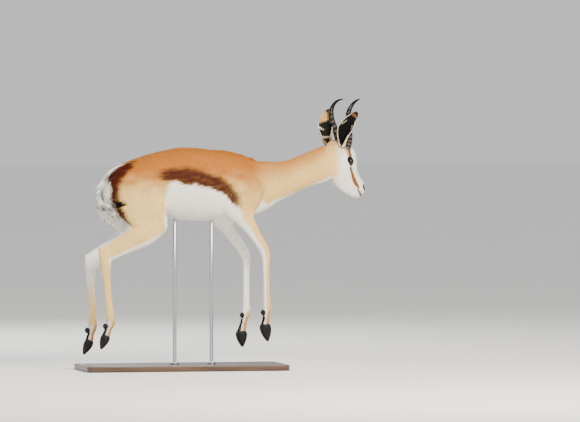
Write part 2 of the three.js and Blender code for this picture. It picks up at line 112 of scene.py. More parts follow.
def spline(points: np.ndarray, t: np.ndarray) -> tuple[np.ndarray, np.ndarray]:
    """A Catmull-Rom curve through the points, each span of equal share.

    Within a span the place is half of 2b + (c-a)w + (2a-5b+4c-d)w2 + (3b-a-3c+d)w3.

    Args:
        points: the points, one a row.
        t: places along the curve, from 0 to 1.

    Returns:
        The places and their rates of change with t.
    """
    ghosts = np.vstack([2 * points[0] - points[1], points, 2 * points[-1] - points[-2]])
    spans = len(points) - 1
    place = np.clip(t, 0.0, 1.0) * spans
    start = np.minimum(place.astype(int), spans - 1)
    w = (place - start)[:, None]
    a, b, c, d = (ghosts[start + k] for k in range(4))
    one, two, three = c - a, 2 * a - 5 * b + 4 * c - d, 3 * (b - c) + d - a
    value = 0.5 * (2 * b + (one + (two + three * w) * w) * w)
    slope = 0.5 * (one + (2 * two + 3 * three * w) * w) * spans
    return value, slope


def ripples(points: np.ndarray, size: float, seed: int, waves: int = 14) -> np.ndarray:
    """Smooth random noise of about unit size: a mean of sine waves that run in random directions.

    Args:
        points: where it is wanted, in metres.
        size: the length of a typical wave, in metres.
        seed: the seed of the waves.
        waves: how many are added.
    """
    rng = np.random.default_rng(seed)
    direction = unit(rng.normal(size=(waves, 3))) * rng.uniform(0.6, 1.7, (waves, 1))
    phase = rng.uniform(0, 2 * math.pi, waves)
    return np.sin(points @ direction.T * (2 * math.pi / size) + phase).sum(axis=1) / math.sqrt(waves)


# Meshes


@dataclass
class Shell:
    """A triangle mesh held as whole arrays, with any number of named values for each vertex."""

    points: np.ndarray
    tris: np.ndarray
    marks: dict[str, np.ndarray] = field(default_factory=dict)

    def volume(self) -> float:
        """The enclosed volume: a sixth of the sum of the corners' triple products."""
        a, b, c = (self.points[self.tris[:, k]] for k in range(3))
        return float(dot(a, np.cross(b, c)).sum() / 6.0)

    def outward(self) -> "Shell":
        """The same shell with its faces turned to point outwards."""
        if self.volume() < 0:
            self.tris = self.tris[:, ::-1].copy()
        return self

    def normals(self) -> np.ndarray:
        """The normals at the vertices, as means of the faces round them by area."""
        a, b, c = (self.points[self.tris[:, k]] for k in range(3))
        faces = np.cross(b - a, c - a)
        total = np.stack([
            np.bincount(self.tris.ravel(), np.repeat(faces[:, axis], 3),
                        len(self.points)) for axis in range(3)
        ], axis=1)
        return unit(total)


def joined(shells: Sequence[Shell]) -> Shell:
    """Several shells as one, with the values that they all carry."""
    starts = np.cumsum([0] + [len(shell.points) for shell in shells[:-1]])
    names = set.intersection(*(set(shell.marks) for shell in shells))
    return Shell(
        np.vstack([shell.points for shell in shells]),
        np.vstack([shell.tris + start for shell, start in zip(shells, starts)]),
        {name: np.concatenate([shell.marks[name] for shell in shells]) for name in names},
    )


def closed_grid(grid: np.ndarray, marks: dict[str, np.ndarray] | None = None) -> Shell:
    """A closed shell from a grid of points: rows run along it, columns round it.

    The columns wrap round, and the first and last rows shrink to one vertex each.

    Args:
        grid: the points, rows by columns by three.
        marks: values for each point of the grid, rows by columns or with more axes.
    """
    rows, columns = grid.shape[:2]

    def flat(values: np.ndarray) -> np.ndarray:
        """A grid's values in one column, with each end ring as its mean."""
        ends = values[0].mean(axis=0, keepdims=True), values[-1].mean(axis=0, keepdims=True)
        return np.concatenate([ends[0], values[1:-1].reshape(-1, *values.shape[2:]), ends[1]])

    number = 1 + np.arange((rows - 2) * columns).reshape(rows - 2, columns)
    after = np.roll(number, -1, axis=1)
    quads = np.stack([number[:-1], after[:-1], after[1:], number[1:]], axis=-1).reshape(-1, 4)
    last = np.full(columns, 1 + number.size)
    tris = np.vstack([
        quads[:, [0, 1, 2]], quads[:, [0, 2, 3]],
        np.stack([0 * last, after[0], number[0]], axis=1), np.stack([last, number[-1], after[-1]], axis=1),
    ])
    return Shell(flat(grid), tris, {name: flat(values) for name, values in (marks or {}).items()}).outward()


def refined(shell: Shell, wanted: np.ndarray) -> Shell:
    """Halves every edge of the wanted triangles, and splits their neighbours to match.

    A triangle with three, two or one halved edges becomes four, three or two.
    """
    count = len(shell.points)
    pairs = np.sort(shell.tris[:, [[0, 1], [1, 2], [2, 0]]].reshape(-1, 2), axis=1)
    keys, inverse = np.unique(pairs[:, 0] * count + pairs[:, 1], return_inverse=True)
    inverse = inverse.reshape(-1, 3)
    halved = np.zeros(len(keys), bool)
    halved[inverse[wanted]] = True
    number = np.where(halved, count + np.cumsum(halved) - 1, -1)
    middle = number[inverse]
    ends = np.stack([keys[halved] // count, keys[halved] % count], axis=1)
    points = np.vstack([shell.points, shell.points[ends].mean(axis=1)])
    splits = (middle >= 0).sum(axis=1)

    def turned(rows: np.ndarray, first: np.ndarray) -> tuple[np.ndarray, np.ndarray]:
        """Triangles and their edges' middles, each turned to start at its given corner."""
        order = (first[:, None] + np.arange(3)) % 3
        return np.take_along_axis(shell.tris[rows], order, 1), np.take_along_axis(middle[rows], order, 1)

    def stack(*corners: np.ndarray) -> np.ndarray:
        """Triangles from three columns of corners."""
        return np.stack(corners, axis=1)

    parts = [shell.tris[splits == 0]]
    rows = np.flatnonzero(splits == 3)
    t, m = turned(rows, np.zeros(len(rows), int))
    parts += [stack(t[:, 0], m[:, 0], m[:, 2]), stack(m[:, 0], t[:, 1], m[:, 1]),
              stack(m[:, 2], m[:, 1], t[:, 2]), stack(m[:, 0], m[:, 1], m[:, 2])]
    rows = np.flatnonzero(splits == 1)
    t, m = turned(rows, np.argmax(middle[rows] >= 0, axis=1))
    parts += [stack(t[:, 0], m[:, 0], t[:, 2]), stack(m[:, 0], t[:, 1], t[:, 2])]
    rows = np.flatnonzero(splits == 2)
    t, m = turned(rows, np.argmin(middle[rows] >= 0, axis=1) + 1)
    parts += [stack(m[:, 0], t[:, 1], m[:, 1]), stack(t[:, 0], m[:, 0], m[:, 1]),
              stack(t[:, 0], m[:, 1], t[:, 2])]
    return Shell(points, np.vstack(parts))


def relaxed(shell: Shell, weight: np.ndarray, rounds: int, step: float = 0.5, back: float = 0.0) -> Shell:
    """Moves each vertex towards the mean of its neighbours, and part of the way back after each round."""
    pairs = np.sort(shell.tris[:, [[0, 1], [1, 2], [2, 0]]].reshape(-1, 2), axis=1)
    count = len(shell.points)
    keys = np.unique(pairs[:, 0] * count + pairs[:, 1])
    a, b = keys // count, keys % count
    degree = np.maximum(np.bincount(a, minlength=count) + np.bincount(b, minlength=count), 1)[:, None]
    points = shell.points.copy()
    for _ in range(rounds):
        for move in (step, -back) if back else (step,):
            total = np.stack([
                np.bincount(a, points[b, axis], count) + np.bincount(b, points[a, axis],
                                                                     count) for axis in range(3)
            ], axis=1)
            points += move * weight[:, None] * (total / degree - points)
    return Shell(points, shell.tris, shell.marks)


def read_mesh(mesh: bpy.types.Mesh) -> Shell:
    """A Blender mesh as a shell of triangles."""
    mesh.calc_loop_triangles()
    points = np.empty(len(mesh.vertices) * 3, np.float32)
    mesh.vertices.foreach_get("co", points)
    tris = np.empty(len(mesh.loop_triangles) * 3, np.int32)
    mesh.loop_triangles.foreach_get("vertices", tris)
    return Shell(points.reshape(-1, 3).astype(float), tris.reshape(-1, 3).astype(np.int64))


def write_mesh(name: str, shell: Shell) -> bpy.types.Object:
    """A new object at the origin with the shell as its mesh, smooth shaded.

    A value of one number becomes a float attribute, of four a colour attribute, "uv" a UV map for
    each corner, and "shading" the normals that the light falls on.
    """
    mesh = bpy.data.meshes.new(name)
    mesh.vertices.add(len(shell.points))
    mesh.vertices.foreach_set("co", shell.points.astype(np.float32).ravel())
    mesh.loops.add(shell.tris.size)
    mesh.loops.foreach_set("vertex_index", shell.tris.astype(np.int32).ravel())
    mesh.polygons.add(len(shell.tris))
    mesh.polygons.foreach_set("loop_start", np.arange(0, shell.tris.size, 3, dtype=np.int32))
    mesh.polygons.foreach_set("use_smooth", np.ones(len(shell.tris), bool))
    for key, values in shell.marks.items():
        if key == "uv":
            layer = mesh.uv_layers.new(name="OFBake")
            layer.uv.foreach_set("vector", values[shell.tris.ravel()].astype(np.float32).ravel())
        elif key == "shading":
            attribute = mesh.attributes.new("custom_normal", "FLOAT_VECTOR", "POINT")
            attribute.data.foreach_set("vector", values.astype(np.float32).ravel())
        elif values.ndim == 2 and values.shape[1] == 4:
            attribute = mesh.attributes.new(key, "FLOAT_COLOR", "POINT")
            attribute.data.foreach_set("color", values.astype(np.float32).ravel())
        elif values.ndim == 1:
            attribute = mesh.attributes.new(key, "FLOAT", "POINT")
            attribute.data.foreach_set("value", values.astype(np.float32))
    mesh.update(calc_edges=True)
    piece = bpy.data.objects.new(name, mesh)
    bpy.context.scene.collection.objects.link(piece)
    return piece


def modified(piece: bpy.types.Object) -> Shell:
    """The shell of an object with its modifiers applied. The object is removed."""
    bpy.context.view_layer.update()
    graph = bpy.context.evaluated_depsgraph_get()
    shell = read_mesh(bpy.data.meshes.new_from_object(piece.evaluated_get(graph)))
    bpy.data.objects.remove(piece)
    return shell


# Forms


@dataclass(frozen=True)
class Line:
    """A loft's line at some places: centres, their rates, directions and the section's sizes."""

    centre: np.ndarray
    slope: np.ndarray
    along: np.ndarray
    across: np.ndarray
    lift: np.ndarray
    size: np.ndarray


@dataclass(frozen=True)
class Loft:
    """A body form carried along a smooth line through its rows.

    Each row holds x, y, z, then how far the section reaches up, down and to each side, all in
    millimetres. Sections are superellipses, square to the line or level where a face is given.
    """

    rows: Rows
    side: Point = (0.0, 1.0, 0.0)
    face: Point | None = None
    caps: tuple[float, float] = (10.0, 10.0)
    power: float = 2.0
    keel: float = 0.0
    grow: float = 0.0
    ripple: Callable[[np.ndarray], np.ndarray] | None = None

    def line(self, t: np.ndarray) -> Line:
        """The line and sizes at places t from 0 to 1, in metres."""
        table = np.array(self.rows, float) * MM
        centre, slope = spline(table[:, :3], t)
        size, _ = spline(table[:, 3:], t)
        along, side = unit(slope), np.array(self.side)
        if self.ripple is not None:
            size = size * self.ripple(t)[:, None]
        if self.face is None:
            across = unit(side - (along @ side)[:, None] * along)
            lift = np.cross(along, across)
        else:
            across = np.broadcast_to(side, along.shape)
            lift = np.broadcast_to(np.array(self.face), along.shape)
        return Line(centre, slope, along, across, lift, size + self.grow * MM)

    def surface(self, rings: int, sides: int, cap_rings: int = 6) -> Shell:
        """The form as a closed shell.

        A point is centre + direction times run + across times out times half + lift times over times
        reach. Out and over are the cosine and sine of the turn, swollen to a superellipse, and the
        end rings shrink as a quarter ellipse as long as the caps.
        """
        ring = np.arange(rings + 1)
        opening = np.minimum(ring / cap_rings, 1) * math.pi / 2
        closing = np.minimum((rings - ring) / cap_rings, 1) * math.pi / 2
        t = np.clip((ring - cap_rings) / (rings - 2 * cap_rings), 0, 1)
        line = self.line(t)
        fill = (np.sin(opening) * np.sin(closing))[:, None, None]
        caps = (np.array(self.caps) + self.grow) * MM
        run = (caps[1] * np.cos(closing) - caps[0] * np.cos(opening))[:, None, None]
        turn = 2 * math.pi * np.arange(sides) / sides
        over = np.sign(np.sin(turn)) * np.abs(np.sin(turn)) ** (2 / self.power)
        out = -np.sign(np.cos(turn)) * np.abs(np.cos(turn)) ** (2 / self.power)
        out = out * (1 - self.keel * np.maximum(0, -over))
        reach = np.where(over > 0, line.size[:, :1], line.size[:, 1:2]) * over
        grid = (
            line.centre[:, None] + line.along[:, None] * run
            + line.across[:, None] * (out * line.size[:, 2:3])[..., None] * fill
            + line.lift[:, None] * reach[..., None] * fill
        )
        return closed_grid(grid, {
            "t": np.broadcast_to(t[:, None], grid.shape[:2]).copy(),
            "turn": np.broadcast_to(turn, grid.shape[:2]).copy(),
        })

    def locate(self, points: np.ndarray) -> tuple[np.ndarray, np.ndarray, np.ndarray, np.ndarray]:
        """Where points lie on this form.

        Returns:
            The place along the line, how far over and out in units of the section, and the clearance
            from the surface in metres, less than nothing inside.
        """
        rough = np.linspace(0, 1, 65)
        centre = self.line(rough).centre
        level = self.face is not None
        used = points[:, 2:] if level else points
        mark = centre[:, 2:] if level else centre
        t = rough[np.argmin((mark ** 2).sum(axis=1) - 2 * used @ mark.T, axis=1)]
        for _ in range(2):
            line = self.line(t)
            flat = np.broadcast_to(np.array([0.0, 0.0, -1.0]), points.shape) if level else line.along
            t = np.clip(t + dot(points - line.centre, flat) / dot(line.slope, flat), 0, 1)
        line = self.line(t)
        flat = np.broadcast_to(np.array([0.0, 0.0, -1.0]), points.shape) if level else line.along
        rest = points - line.centre
        beyond = dot(rest, flat)
        over = dot(rest, line.lift)
        over = over / np.where(over > 0, line.size[:, 0], line.size[:, 1])
        narrowing = 1 - self.keel * np.clip(-over, 0, 1)
        out = dot(rest, line.across) / (line.size[:, 2] * narrowing)
        cap = beyond / (np.where(beyond < 0, self.caps[0], self.caps[1]) * MM)
        section = (np.abs(over) ** self.power + np.abs(out) ** self.power) ** (1 / self.power)
        rho = np.maximum(np.sqrt(section ** 2 + cap ** 2), 1e-6)
        return t, over, out, np.linalg.norm(rest, axis=1) * (1 - 1 / rho)


# The animal's parts


@dataclass(frozen=True)
class Trunk:
    """Trunk and neck in one run from the rump to the nape."""

    rows: Rows = (
        (-300, 0, 697, 42, 45, 50), (-280, 0, 699, 62, 60, 66), (-246, 0, 707, 85, 80, 79),
        (-205, 0, 713, 99, 95, 87), (-150, 0, 721, 111, 106, 91), (-86, 0, 726, 126, 124, 93),
        (-20, 0, 724, 142, 138, 97), (50, 0, 721, 144, 141, 101), (110, 0, 719, 139, 139, 99),
        (160, 0, 719, 136, 136, 94), (210, 0, 715, 128, 129, 85), (255, 0, 711, 119, 119, 75),
        (300, 1, 713, 110, 103, 63), (345, 6, 724, 90, 86, 54), (424, 19, 745, 69, 68, 45),
        (504, 37, 777, 62, 68, 41), (560, 50, 806, 57, 82, 38), (596, 58, 832, 44, 76, 30),
    )

    def loft(self, grow: float) -> Loft:
        """The form, grown by a distance in millimetres."""
        return Loft(self.rows, caps=(14, 16), keel=0.16, power=2.1, grow=grow)


def swung(rows: Rows, swing: float, out: int) -> Rows:
    """The level rows of a limb's upper mass, swung forward with the square of the depth below the top."""
    top, depth = rows[0][1], rows[0][1] - rows[-1][1]
    return tuple(
        (x + swing * ((top - z) / depth) ** 2, out * y, z, front, rear, half)
        for x, z, front, rear, half, y in rows
    )


def jointed(joints: Rows, girths: Rows) -> Rows:
    """The rows of a limb, placed along its bones by a table of girths."""
    def place(bone: int, share: float) -> list[float]:
        """The point at a share of the way along a bone."""
        return [a + (b - a) * share for a, b in zip(joints[bone], joints[bone + 1])]

    return tuple((*place(int(bone), share), *girth) for bone, share, *girth in girths)


@dataclass(frozen=True)
class ForeLeg:
    """A foreleg: the shoulder with the upper arm, then the leg down to the pastern."""

    flank: Flank
    joints: Rows
    swing: float
    shoulder: Rows = (
        (212, 790, 47, 62, 22, 46), (212, 748, 82, 86, 33, 50), (214, 702, 102, 98, 38, 51),
        (214, 660, 94, 92, 39, 50), (216, 622, 70, 70, 36, 49), (224, 592, 52, 50, 30, 51),
    )
    girths: Rows = (
        (0, 0.0, 44, 50, 27), (0, 0.3, 31, 33, 21), (0, 0.62, 24, 22, 16), (0, 0.9, 21, 20, 15),
        (1, 0.05, 18.5, 18.5, 15), (1, 0.17, 15, 15, 12.5), (1, 0.5, 13.5, 13.5, 11),
        (1, 0.86, 15, 15, 13), (1, 1.0, 17, 17, 15), (2, 0.5, 13, 14, 13), (2, 1.0, 18, 20, 15),
    )

    def upper(self, grow: float) -> Loft:
        """The shoulder and upper arm."""
        rows = swung(self.shoulder, self.swing, self.flank.value)
        return Loft(rows, face=(1.0, 0.0, 0.0), caps=(18, 20), grow=grow)

    def lower(self, grow: float) -> Loft:
        """The leg from inside the shoulder to the coronet."""
        return Loft(jointed(self.joints, self.girths), caps=(24, 5), grow=grow)


@dataclass(frozen=True)
class HindLeg:
    """A hind leg: haunch, gaskin, and the cannon with the hock."""

    flank: Flank
    joints: Rows
    swing: float
    rear: tuple[float, ...]
    haunch: Rows = (
        (-200, 768, 52, 27, 50), (-200, 735, 98, 38, 55), (-200, 700, 123, 44, 58), (-200, 655, 129, 47, 58),
        (-200, 615, 131, 45, 58), (-196, 582, 130, 39, 57), (-178, 552, 110, 37, 56), (-158, 526, 70, 30, 56),
    )
    gaskin_girths: Rows = (
        (0, 0.0, 50, 56, 31), (0, 0.25, 52, 55, 35), (0, 0.5, 43, 42, 29), (0, 0.77, 36, 36, 21),
        (0, 0.95, 33, 36, 18),
    )
    girths: Rows = (
        (1, -0.11, 4, 21, 9), (1, -0.04, 18, 21, 13), (1, 0.065, 26, 21, 17), (1, 0.145, 24, 21, 17),
        (1, 0.215, 20.5, 20.5, 16), (1, 0.29, 18, 18, 14.5), (1, 0.41, 15.5, 15.5, 12.5),
        (1, 0.56, 14.5, 14.5, 12), (1, 0.78, 15, 15, 12.5), (1, 0.94, 17, 17, 14.5), (1, 1.0, 17, 19, 15),
        (2, 0.5, 13, 15, 13), (2, 1.0, 17, 18, 15),
    )

    def upper(self, grow: float) -> Loft:
        """The haunch."""
        rows = tuple((x, z, front, rear, half, y) for (x, z, front, half, y),
                     rear in zip(self.haunch, self.rear))
        return Loft(swung(rows, self.swing, self.flank.value), face=(1.0, 0.0, 0.0), caps=(18, 12), grow=grow)

    def gaskin(self, grow: float) -> Loft:
        """The gaskin, from the stifle to the hock."""
        return Loft(jointed(self.joints, self.gaskin_girths), caps=(30, 16), grow=grow)

    def lower(self, grow: float) -> Loft:
        """The hock, cannon and pastern."""
        return Loft(jointed(self.joints, self.girths), caps=(8, 5), grow=grow)


@dataclass(frozen=True)
class HeadFrame:
    """The head's own directions: towards the nose, to its left and out of the forehead."""

    poll: Point = (616, 62, 862)
    turn: float = 28
    dip: float = 47

    @property
    def axes(self) -> np.ndarray:
        """The three directions, one a row."""
        turn, dip = math.radians(self.turn), math.radians(self.dip)
        flat = np.array([math.cos(turn), math.sin(turn), 0.0])
        up = np.array([0.0, 0.0, 1.0])
        return np.stack([
            math.cos(dip) * flat - math.sin(dip) * up,
            np.array([-math.sin(turn), math.cos(turn), 0.0]),
            math.sin(dip) * flat + math.cos(dip) * up,
        ])

    def world(self, local: Sequence[float]) -> np.ndarray:
        """A place on the head, in millimetres of the CAD frame."""
        return np.array(self.poll) + np.array(local, float) @ self.axes

    def local(self, points: np.ndarray) -> np.ndarray:
        """Places in metres, as millimetres forward, left and up in the head's own directions."""
        return (points / MM - np.array(self.poll)) @ self.axes.T


@dataclass(frozen=True)
class Head:
    """Skull and muzzle, with the places of the eyes, nostrils and mouth."""

    frame: HeadFrame = HeadFrame()
    skull: Rows = (
        (4, 36, -42, 35), (30, 60, -68, 41), (56, 66, -84, 43), (80, 53, -92, 46), (104, 41, -95, 42),
        (130, 30, -90, 34), (160, 22, -79, 28), (188, 19, -67, 24), (210, 17, -58, 22), (226, 10, -49, 18),
    )
    eye: Point = (78.5, 37, 4)
    eye_radius: float = 13.6
    look: Point = (0.08, 0.96, 0.17)
    lid: float = 2.2
    opening: float = 63
    nostril: Point = (213, 19, -3)
    mouth_from: float = 190
    mouth_height: float = -33

    def loft(self, grow: float) -> Loft:
        """The form, grown by a distance in millimetres."""
        rows = tuple(
            (*self.frame.world((forward, 0, (top + bottom) / 2)), (top - bottom) / 2, (top - bottom) / 2,
             half)
            for forward, top, bottom, half in self.skull
        )
        side = tuple(self.frame.axes[1])
        return Loft(rows, side=side, caps=(30, 9), power=2.3, keel=0.3, grow=grow)

    def eye_place(self, flank: Flank) -> tuple[np.ndarray, np.ndarray]:
        """An eye's centre in metres, and the direction that it looks in."""
        forward, out, up = self.eye
        ahead, aside, above = self.look
        centre = self.frame.world((forward, flank.value * out, up)) * MM
        return centre, unit(np.array([ahead, flank.value * aside, above]) @ self.frame.axes)

    def nostril_ring(self, local: np.ndarray, flank: Flank) -> np.ndarray:
        """How far places on the head are from a nostril's middle, 1 at its rim."""
        away = local - np.array([self.nostril[0], flank.value * self.nostril[1], self.nostril[2]])
        long, wide = 0.91 * away[:, 0] - 0.41 * away[:, 2], 0.41 * away[:, 0] + 0.91 * away[:, 2]
        return np.sqrt((long / 9.5) ** 2 + (wide / 4.4) ** 2 + (away[:, 1] / 9.0) ** 2)

    def lidded(self, points: np.ndarray, flank: Flank) -> np.ndarray:
        """The points with an eye socket, and lids that lie on the eyeball.

        Each point moves along its ray from the eyeball's middle, by its angle from where the eye
        looks. The opening is longer than it is high, and its corners lie along the head.
        """
        centre, look = self.eye_place(flank)
        nose, _, crown = self.frame.axes
        away = points - centre
        distance = np.linalg.norm(away, axis=1)
        ray = away / distance[:, None]
        tilt = unit(ray - (ray @ look)[:, None] * look)
        stretch = 1.0 + 0.16 * (tilt @ unit(nose - 0.25 * crown)) ** 2
        angle = np.degrees(np.arccos(np.clip(ray @ look, -1, 1))) / stretch
        rim, lid, inside = self.opening, (self.eye_radius + self.lid) * MM, (self.eye_radius - 3.5) * MM
        crease = 1.0 * MM * bell((angle - rim - 24) / 7) * (tilt @ crown > -0.2)
        target = inside + (lid - inside) * smoothstep(rim - 7, rim + 1, angle) - crease
        near = (distance < 0.045) & (angle < 110)
        reach = np.where(near, distance + (target - distance) * fall(rim + 8, rim + 34, angle), distance)
        return centre + ray * reach[:, None]

    def carved(self, shell: Shell) -> Shell:
        """The skin with eye sockets and lids, nostrils, mouth, chin and the line of the jaw."""
        points = shell.points
        for flank in Flank:
            points = self.lidded(points, flank)
        local = self.frame.local(points)
        forward, left, up = local.T
        out = np.abs(left)
        # Nostrils: a slanted slit on each side of the nose, with a raised wing round it
        rise = np.zeros(len(points))
        for flank in Flank:
            ring = self.nostril_ring(local, flank)
            rise += 1.0 * bell((ring - 1.4) / 0.35) - 4.5 * fall(0.5, 1.0, ring)
        # Mouth: a groove that runs back from between the lips, and the lips as soft rolls beside it
        height = up - self.mouth_height
        groove = 1.5 * bell((np.abs(height) - 4) / 2.6) - 3.2 * bell(height / 1.5)
        rise += groove * smoothstep(self.mouth_from - 2, self.mouth_from + 6, forward)
        # The rounded chin, the hollow before the eyes, the cheek and the edge of the jaw
        rise += 1.6 * bell((forward - 212) / 12, (up + 50) / 9)
        rise -= 2.4 * bell((forward - 122) / 16, (up - 2) / 13) * smoothstep(12, 24, out)
        rise += 2.2 * bell((forward - 62) / 26, (up + 52) / 24) * smoothstep(14, 28, out)
        jaw = bell((up + 30 + 0.25 * (140 - forward)) / 7) * between(96, 172, 14, forward)
        rise -= 1.3 * jaw * smoothstep(10, 18, out)
        normal = Shell(points, shell.tris).normals()
        return Shell(points + normal * (rise * MM)[:, None], shell.tris, shell.marks)


@dataclass(frozen=True)
class Ear:
    """An ear: a leaf rolled into a tube at its root, which opens into a cup and flattens to the tip."""

    flank: Flank
    run: Rows
    head: HeadFrame = HeadFrame()
    faces: Point = (-0.25, -0.93, -0.1)
    base: tuple[float, float] = (2, 12)
    spread: float = 40
    half: tuple[float, ...] = (11, 19, 26, 26, 19, 8)
    depth: tuple[float, ...] = (11, 15, 15, 12, 8, 3)
    wrap: tuple[float, ...] = (164, 126, 104, 96, 92, 88)
    wall: tuple[float, ...] = (2.8, 2.4, 2.0, 1.7, 1.4, 1.0)
    tan_from: float = 0.95
    # How white the ear's root is; whatever falls short of one is painted shade at the root instead
    root_white: float = 0.9
    streaks: tuple[Rows, ...] = (
        ((0.52, -0.58, 0.012), (0.6, -0.52, 0.02), (0.68, -0.46, 0.01)),
        ((0.5, 0.55, 0.012), (0.6, 0.42, 0.02), (0.7, 0.3, 0.012)),
    )

    def line(self, t: np.ndarray) -> tuple[np.ndarray, ...]:
        """Centre, along, side and facing directions, and half width, depth, wrap and wall at places t."""
        forward, up = self.base
        root = self.head.world((forward, self.flank.value * self.spread, up))
        centre, slope = spline((np.array(self.run, float) + root) * MM, t)
        axis = unit(np.array(self.run[-1], float))
        side = unit(np.cross(np.array(self.faces), axis))
        facing = np.cross(axis, side)
        sizes, _ = spline(np.stack([self.half, self.depth, self.wrap, self.wall], axis=1).astype(float), t)
        along = unit(slope)
        across = unit(side - dot(along, np.broadcast_to(side, along.shape))[:, None] * along)
        out = np.cross(along, across)
        out = out * np.sign(out @ facing)[:, None]
        return centre, along, across, out, sizes

    def shell(self, rows: int = 80, columns: int = 72) -> Shell:
        """The ear as a closed sheet.

        The sheet's middle is centre + across times half times sin(angle) - facing times depth times
        cos(angle), for angles within the wrap. The wall goes half out and half in, thinning to
        nothing at the rims, and the whole closes at the root and tip.
        """
        ring = np.linspace(0, 1, rows)
        t = np.clip((ring - 0.03) / 0.95, 0, 1)
        centre, along, across, facing, sizes = self.line(t)
        fill = np.sqrt(np.clip(1 - (1 - np.minimum(ring / 0.03, 1)) ** 2, 0, 1))
        tip = np.sqrt(np.clip(1 - (np.clip(ring - 0.9, 0, None) / 0.1) ** 2, 0, 1))
        fill = (fill * tip)[:, None]
        turn = 2 * math.pi * np.arange(columns) / columns
        angle = np.radians(sizes[:, 2:3]) * np.cos(turn)
        wall = 0.5 * sizes[:, 3:4] * MM * np.sign(np.sin(turn)) * np.abs(np.sin(turn)) ** 0.4
        half, depth = sizes[:, 0:1] * MM, sizes[:, 1:2] * MM
        out = np.sin(angle) * (half + wall) * fill
        back = np.cos(angle) * (depth + wall) * fill
        grid = centre[:, None] + across[:, None] * out[..., None] - facing[:, None] * back[..., None]
        shape = grid.shape[:2]
        return closed_grid(grid, {
            "t": np.broadcast_to(t[:, None], shape).copy(),
            "turn": np.broadcast_to(turn, shape).copy(),
        })


@dataclass(frozen=True)
class Tail:
    """The tail, swung to the animal's right across the rump patch."""

    rows: Rows = (
        (-278, 0, 748, 12, 12, 13), (-306, -2, 732, 11, 10, 12), (-321, -8, 704, 9, 9, 11),
        (-325, -22, 676, 9, 9, 10), (-326, -48, 654, 9, 9, 10), (-313, -82, 643, 8, 8, 9),
        (-284, -103, 643, 6, 6, 7), (-262, -112, 646, 2, 2, 2),
    )

    def loft(self, grow: float) -> Loft:
        """The form, grown by a distance in millimetres."""
        return Loft(self.rows, caps=(8, 6), grow=grow)


# Where a point lies on the body


class Region(Enum):
    """The body's regions, which the markings and the hair are told by."""

    TRUNK = 0
    SHOULDER = 1
    FORELEG = 2
    HAUNCH = 3
    GASKIN = 4
    HINDLEG = 5
    HEAD = 6
    EAR = 7
    TAIL = 8


@dataclass(frozen=True)
class Form:
    """One form of the body: its region and side, its loft, and how its hair lies.

    lie is 1 where the hair lies along the loft's line and -1 where it lies against it, and sweep is
    added to that direction. depth is how far the skin lies under the tips of the coat.
    """

    region: Region
    flank: Flank | None
    loft: Callable[[float], Loft]
    lie: int
    sweep: Point
    depth: float
    rings: int
    sides: int


@dataclass
class Reading:
    """Where points lie on the body: each form's share, and the place on each form."""

    points: np.ndarray
    forms: Sequence[Form]
    share: np.ndarray
    t: np.ndarray
    over: np.ndarray
    out: np.ndarray
    gap: np.ndarray

    def part(self, *regions: Region) -> np.ndarray:
        """How far each point belongs to the regions, from 0 to 1."""
        columns = [k for k, form in enumerate(self.forms) if form.region in regions]
        return self.share[:, columns].sum(axis=1)

    def mean(self, values: np.ndarray, region: Region) -> np.ndarray:
        """A value's mean over a region's forms, by their shares."""
        columns = [k for k, form in enumerate(self.forms) if form.region is region]
        share = self.share[:, columns]
        return (values[:, columns] * share).sum(axis=1) / np.maximum(share.sum(axis=1), 1e-6)

    def on(self, region: Region) -> tuple[np.ndarray, ...]:
        """How far points belong to a region, and their place along it, over and out there."""
        return (self.part(region), *(self.mean(values, region) for values in (self.t, self.over, self.out)))


@dataclass(frozen=True)
class Anatomy:
    """All the forms that the skin is fused from."""

    forms: Sequence[Form]
    blend: float = 5.0

    def read(self, points: np.ndarray) -> Reading:
        """Reads where points lie.

        A form's share falls as e to the power of minus its clearance over the blend, so points on a
        seam belong to both forms. out counts away from the body's middle on a form of one side.
        """
        found = [form.loft(-form.depth).locate(points) for form in self.forms]
        t, over, out, gap = (np.stack([one[k] for one in found], axis=1) for k in range(4))
        sign = np.array([form.flank.value if form.flank else 1 for form in self.forms])
        nearest = gap - gap.min(axis=1, keepdims=True)
        share = np.exp(-nearest / (self.blend * MM))
        share /= share.sum(axis=1, keepdims=True)
        return Reading(points, self.forms, share, t, over, out * sign, gap)

    def lie(self, reading: Reading) -> np.ndarray:
        """The way that the hair runs at each point, before it is laid on the skin."""
        total = np.zeros_like(reading.points)
        for k, form in enumerate(self.forms):
            along = form.loft(-form.depth).line(reading.t[:, k]).along * form.lie
            outward = form.flank.value if form.flank else 1
            total += reading.share[:, k:k + 1] * (along + np.array(form.sweep) * (1, outward, 1))
        return unit(total)


def near_path(a: np.ndarray, b: np.ndarray, path: Rows, soft: float) -> np.ndarray:
    """How near points of a plane are to a path whose rows hold two places and a half width.

    It is 1 within the half width and falls to 0 over the soft width beyond it.
    """
    best = np.zeros(len(a))
    for (a0, b0, w0), (a1, b1, w1) in zip(path, path[1:]):
        run, rise = a1 - a0, b1 - b0
        share = np.clip(((a - a0) * run + (b - b0) * rise) / (run * run + rise * rise), 0, 1)
        away = np.hypot(a - a0 - share * run, b - b0 - share * rise)
        width = w0 + (w1 - w0) * share
        best = np.maximum(best, fall(-soft / 2, soft / 2, away - width))
    return best


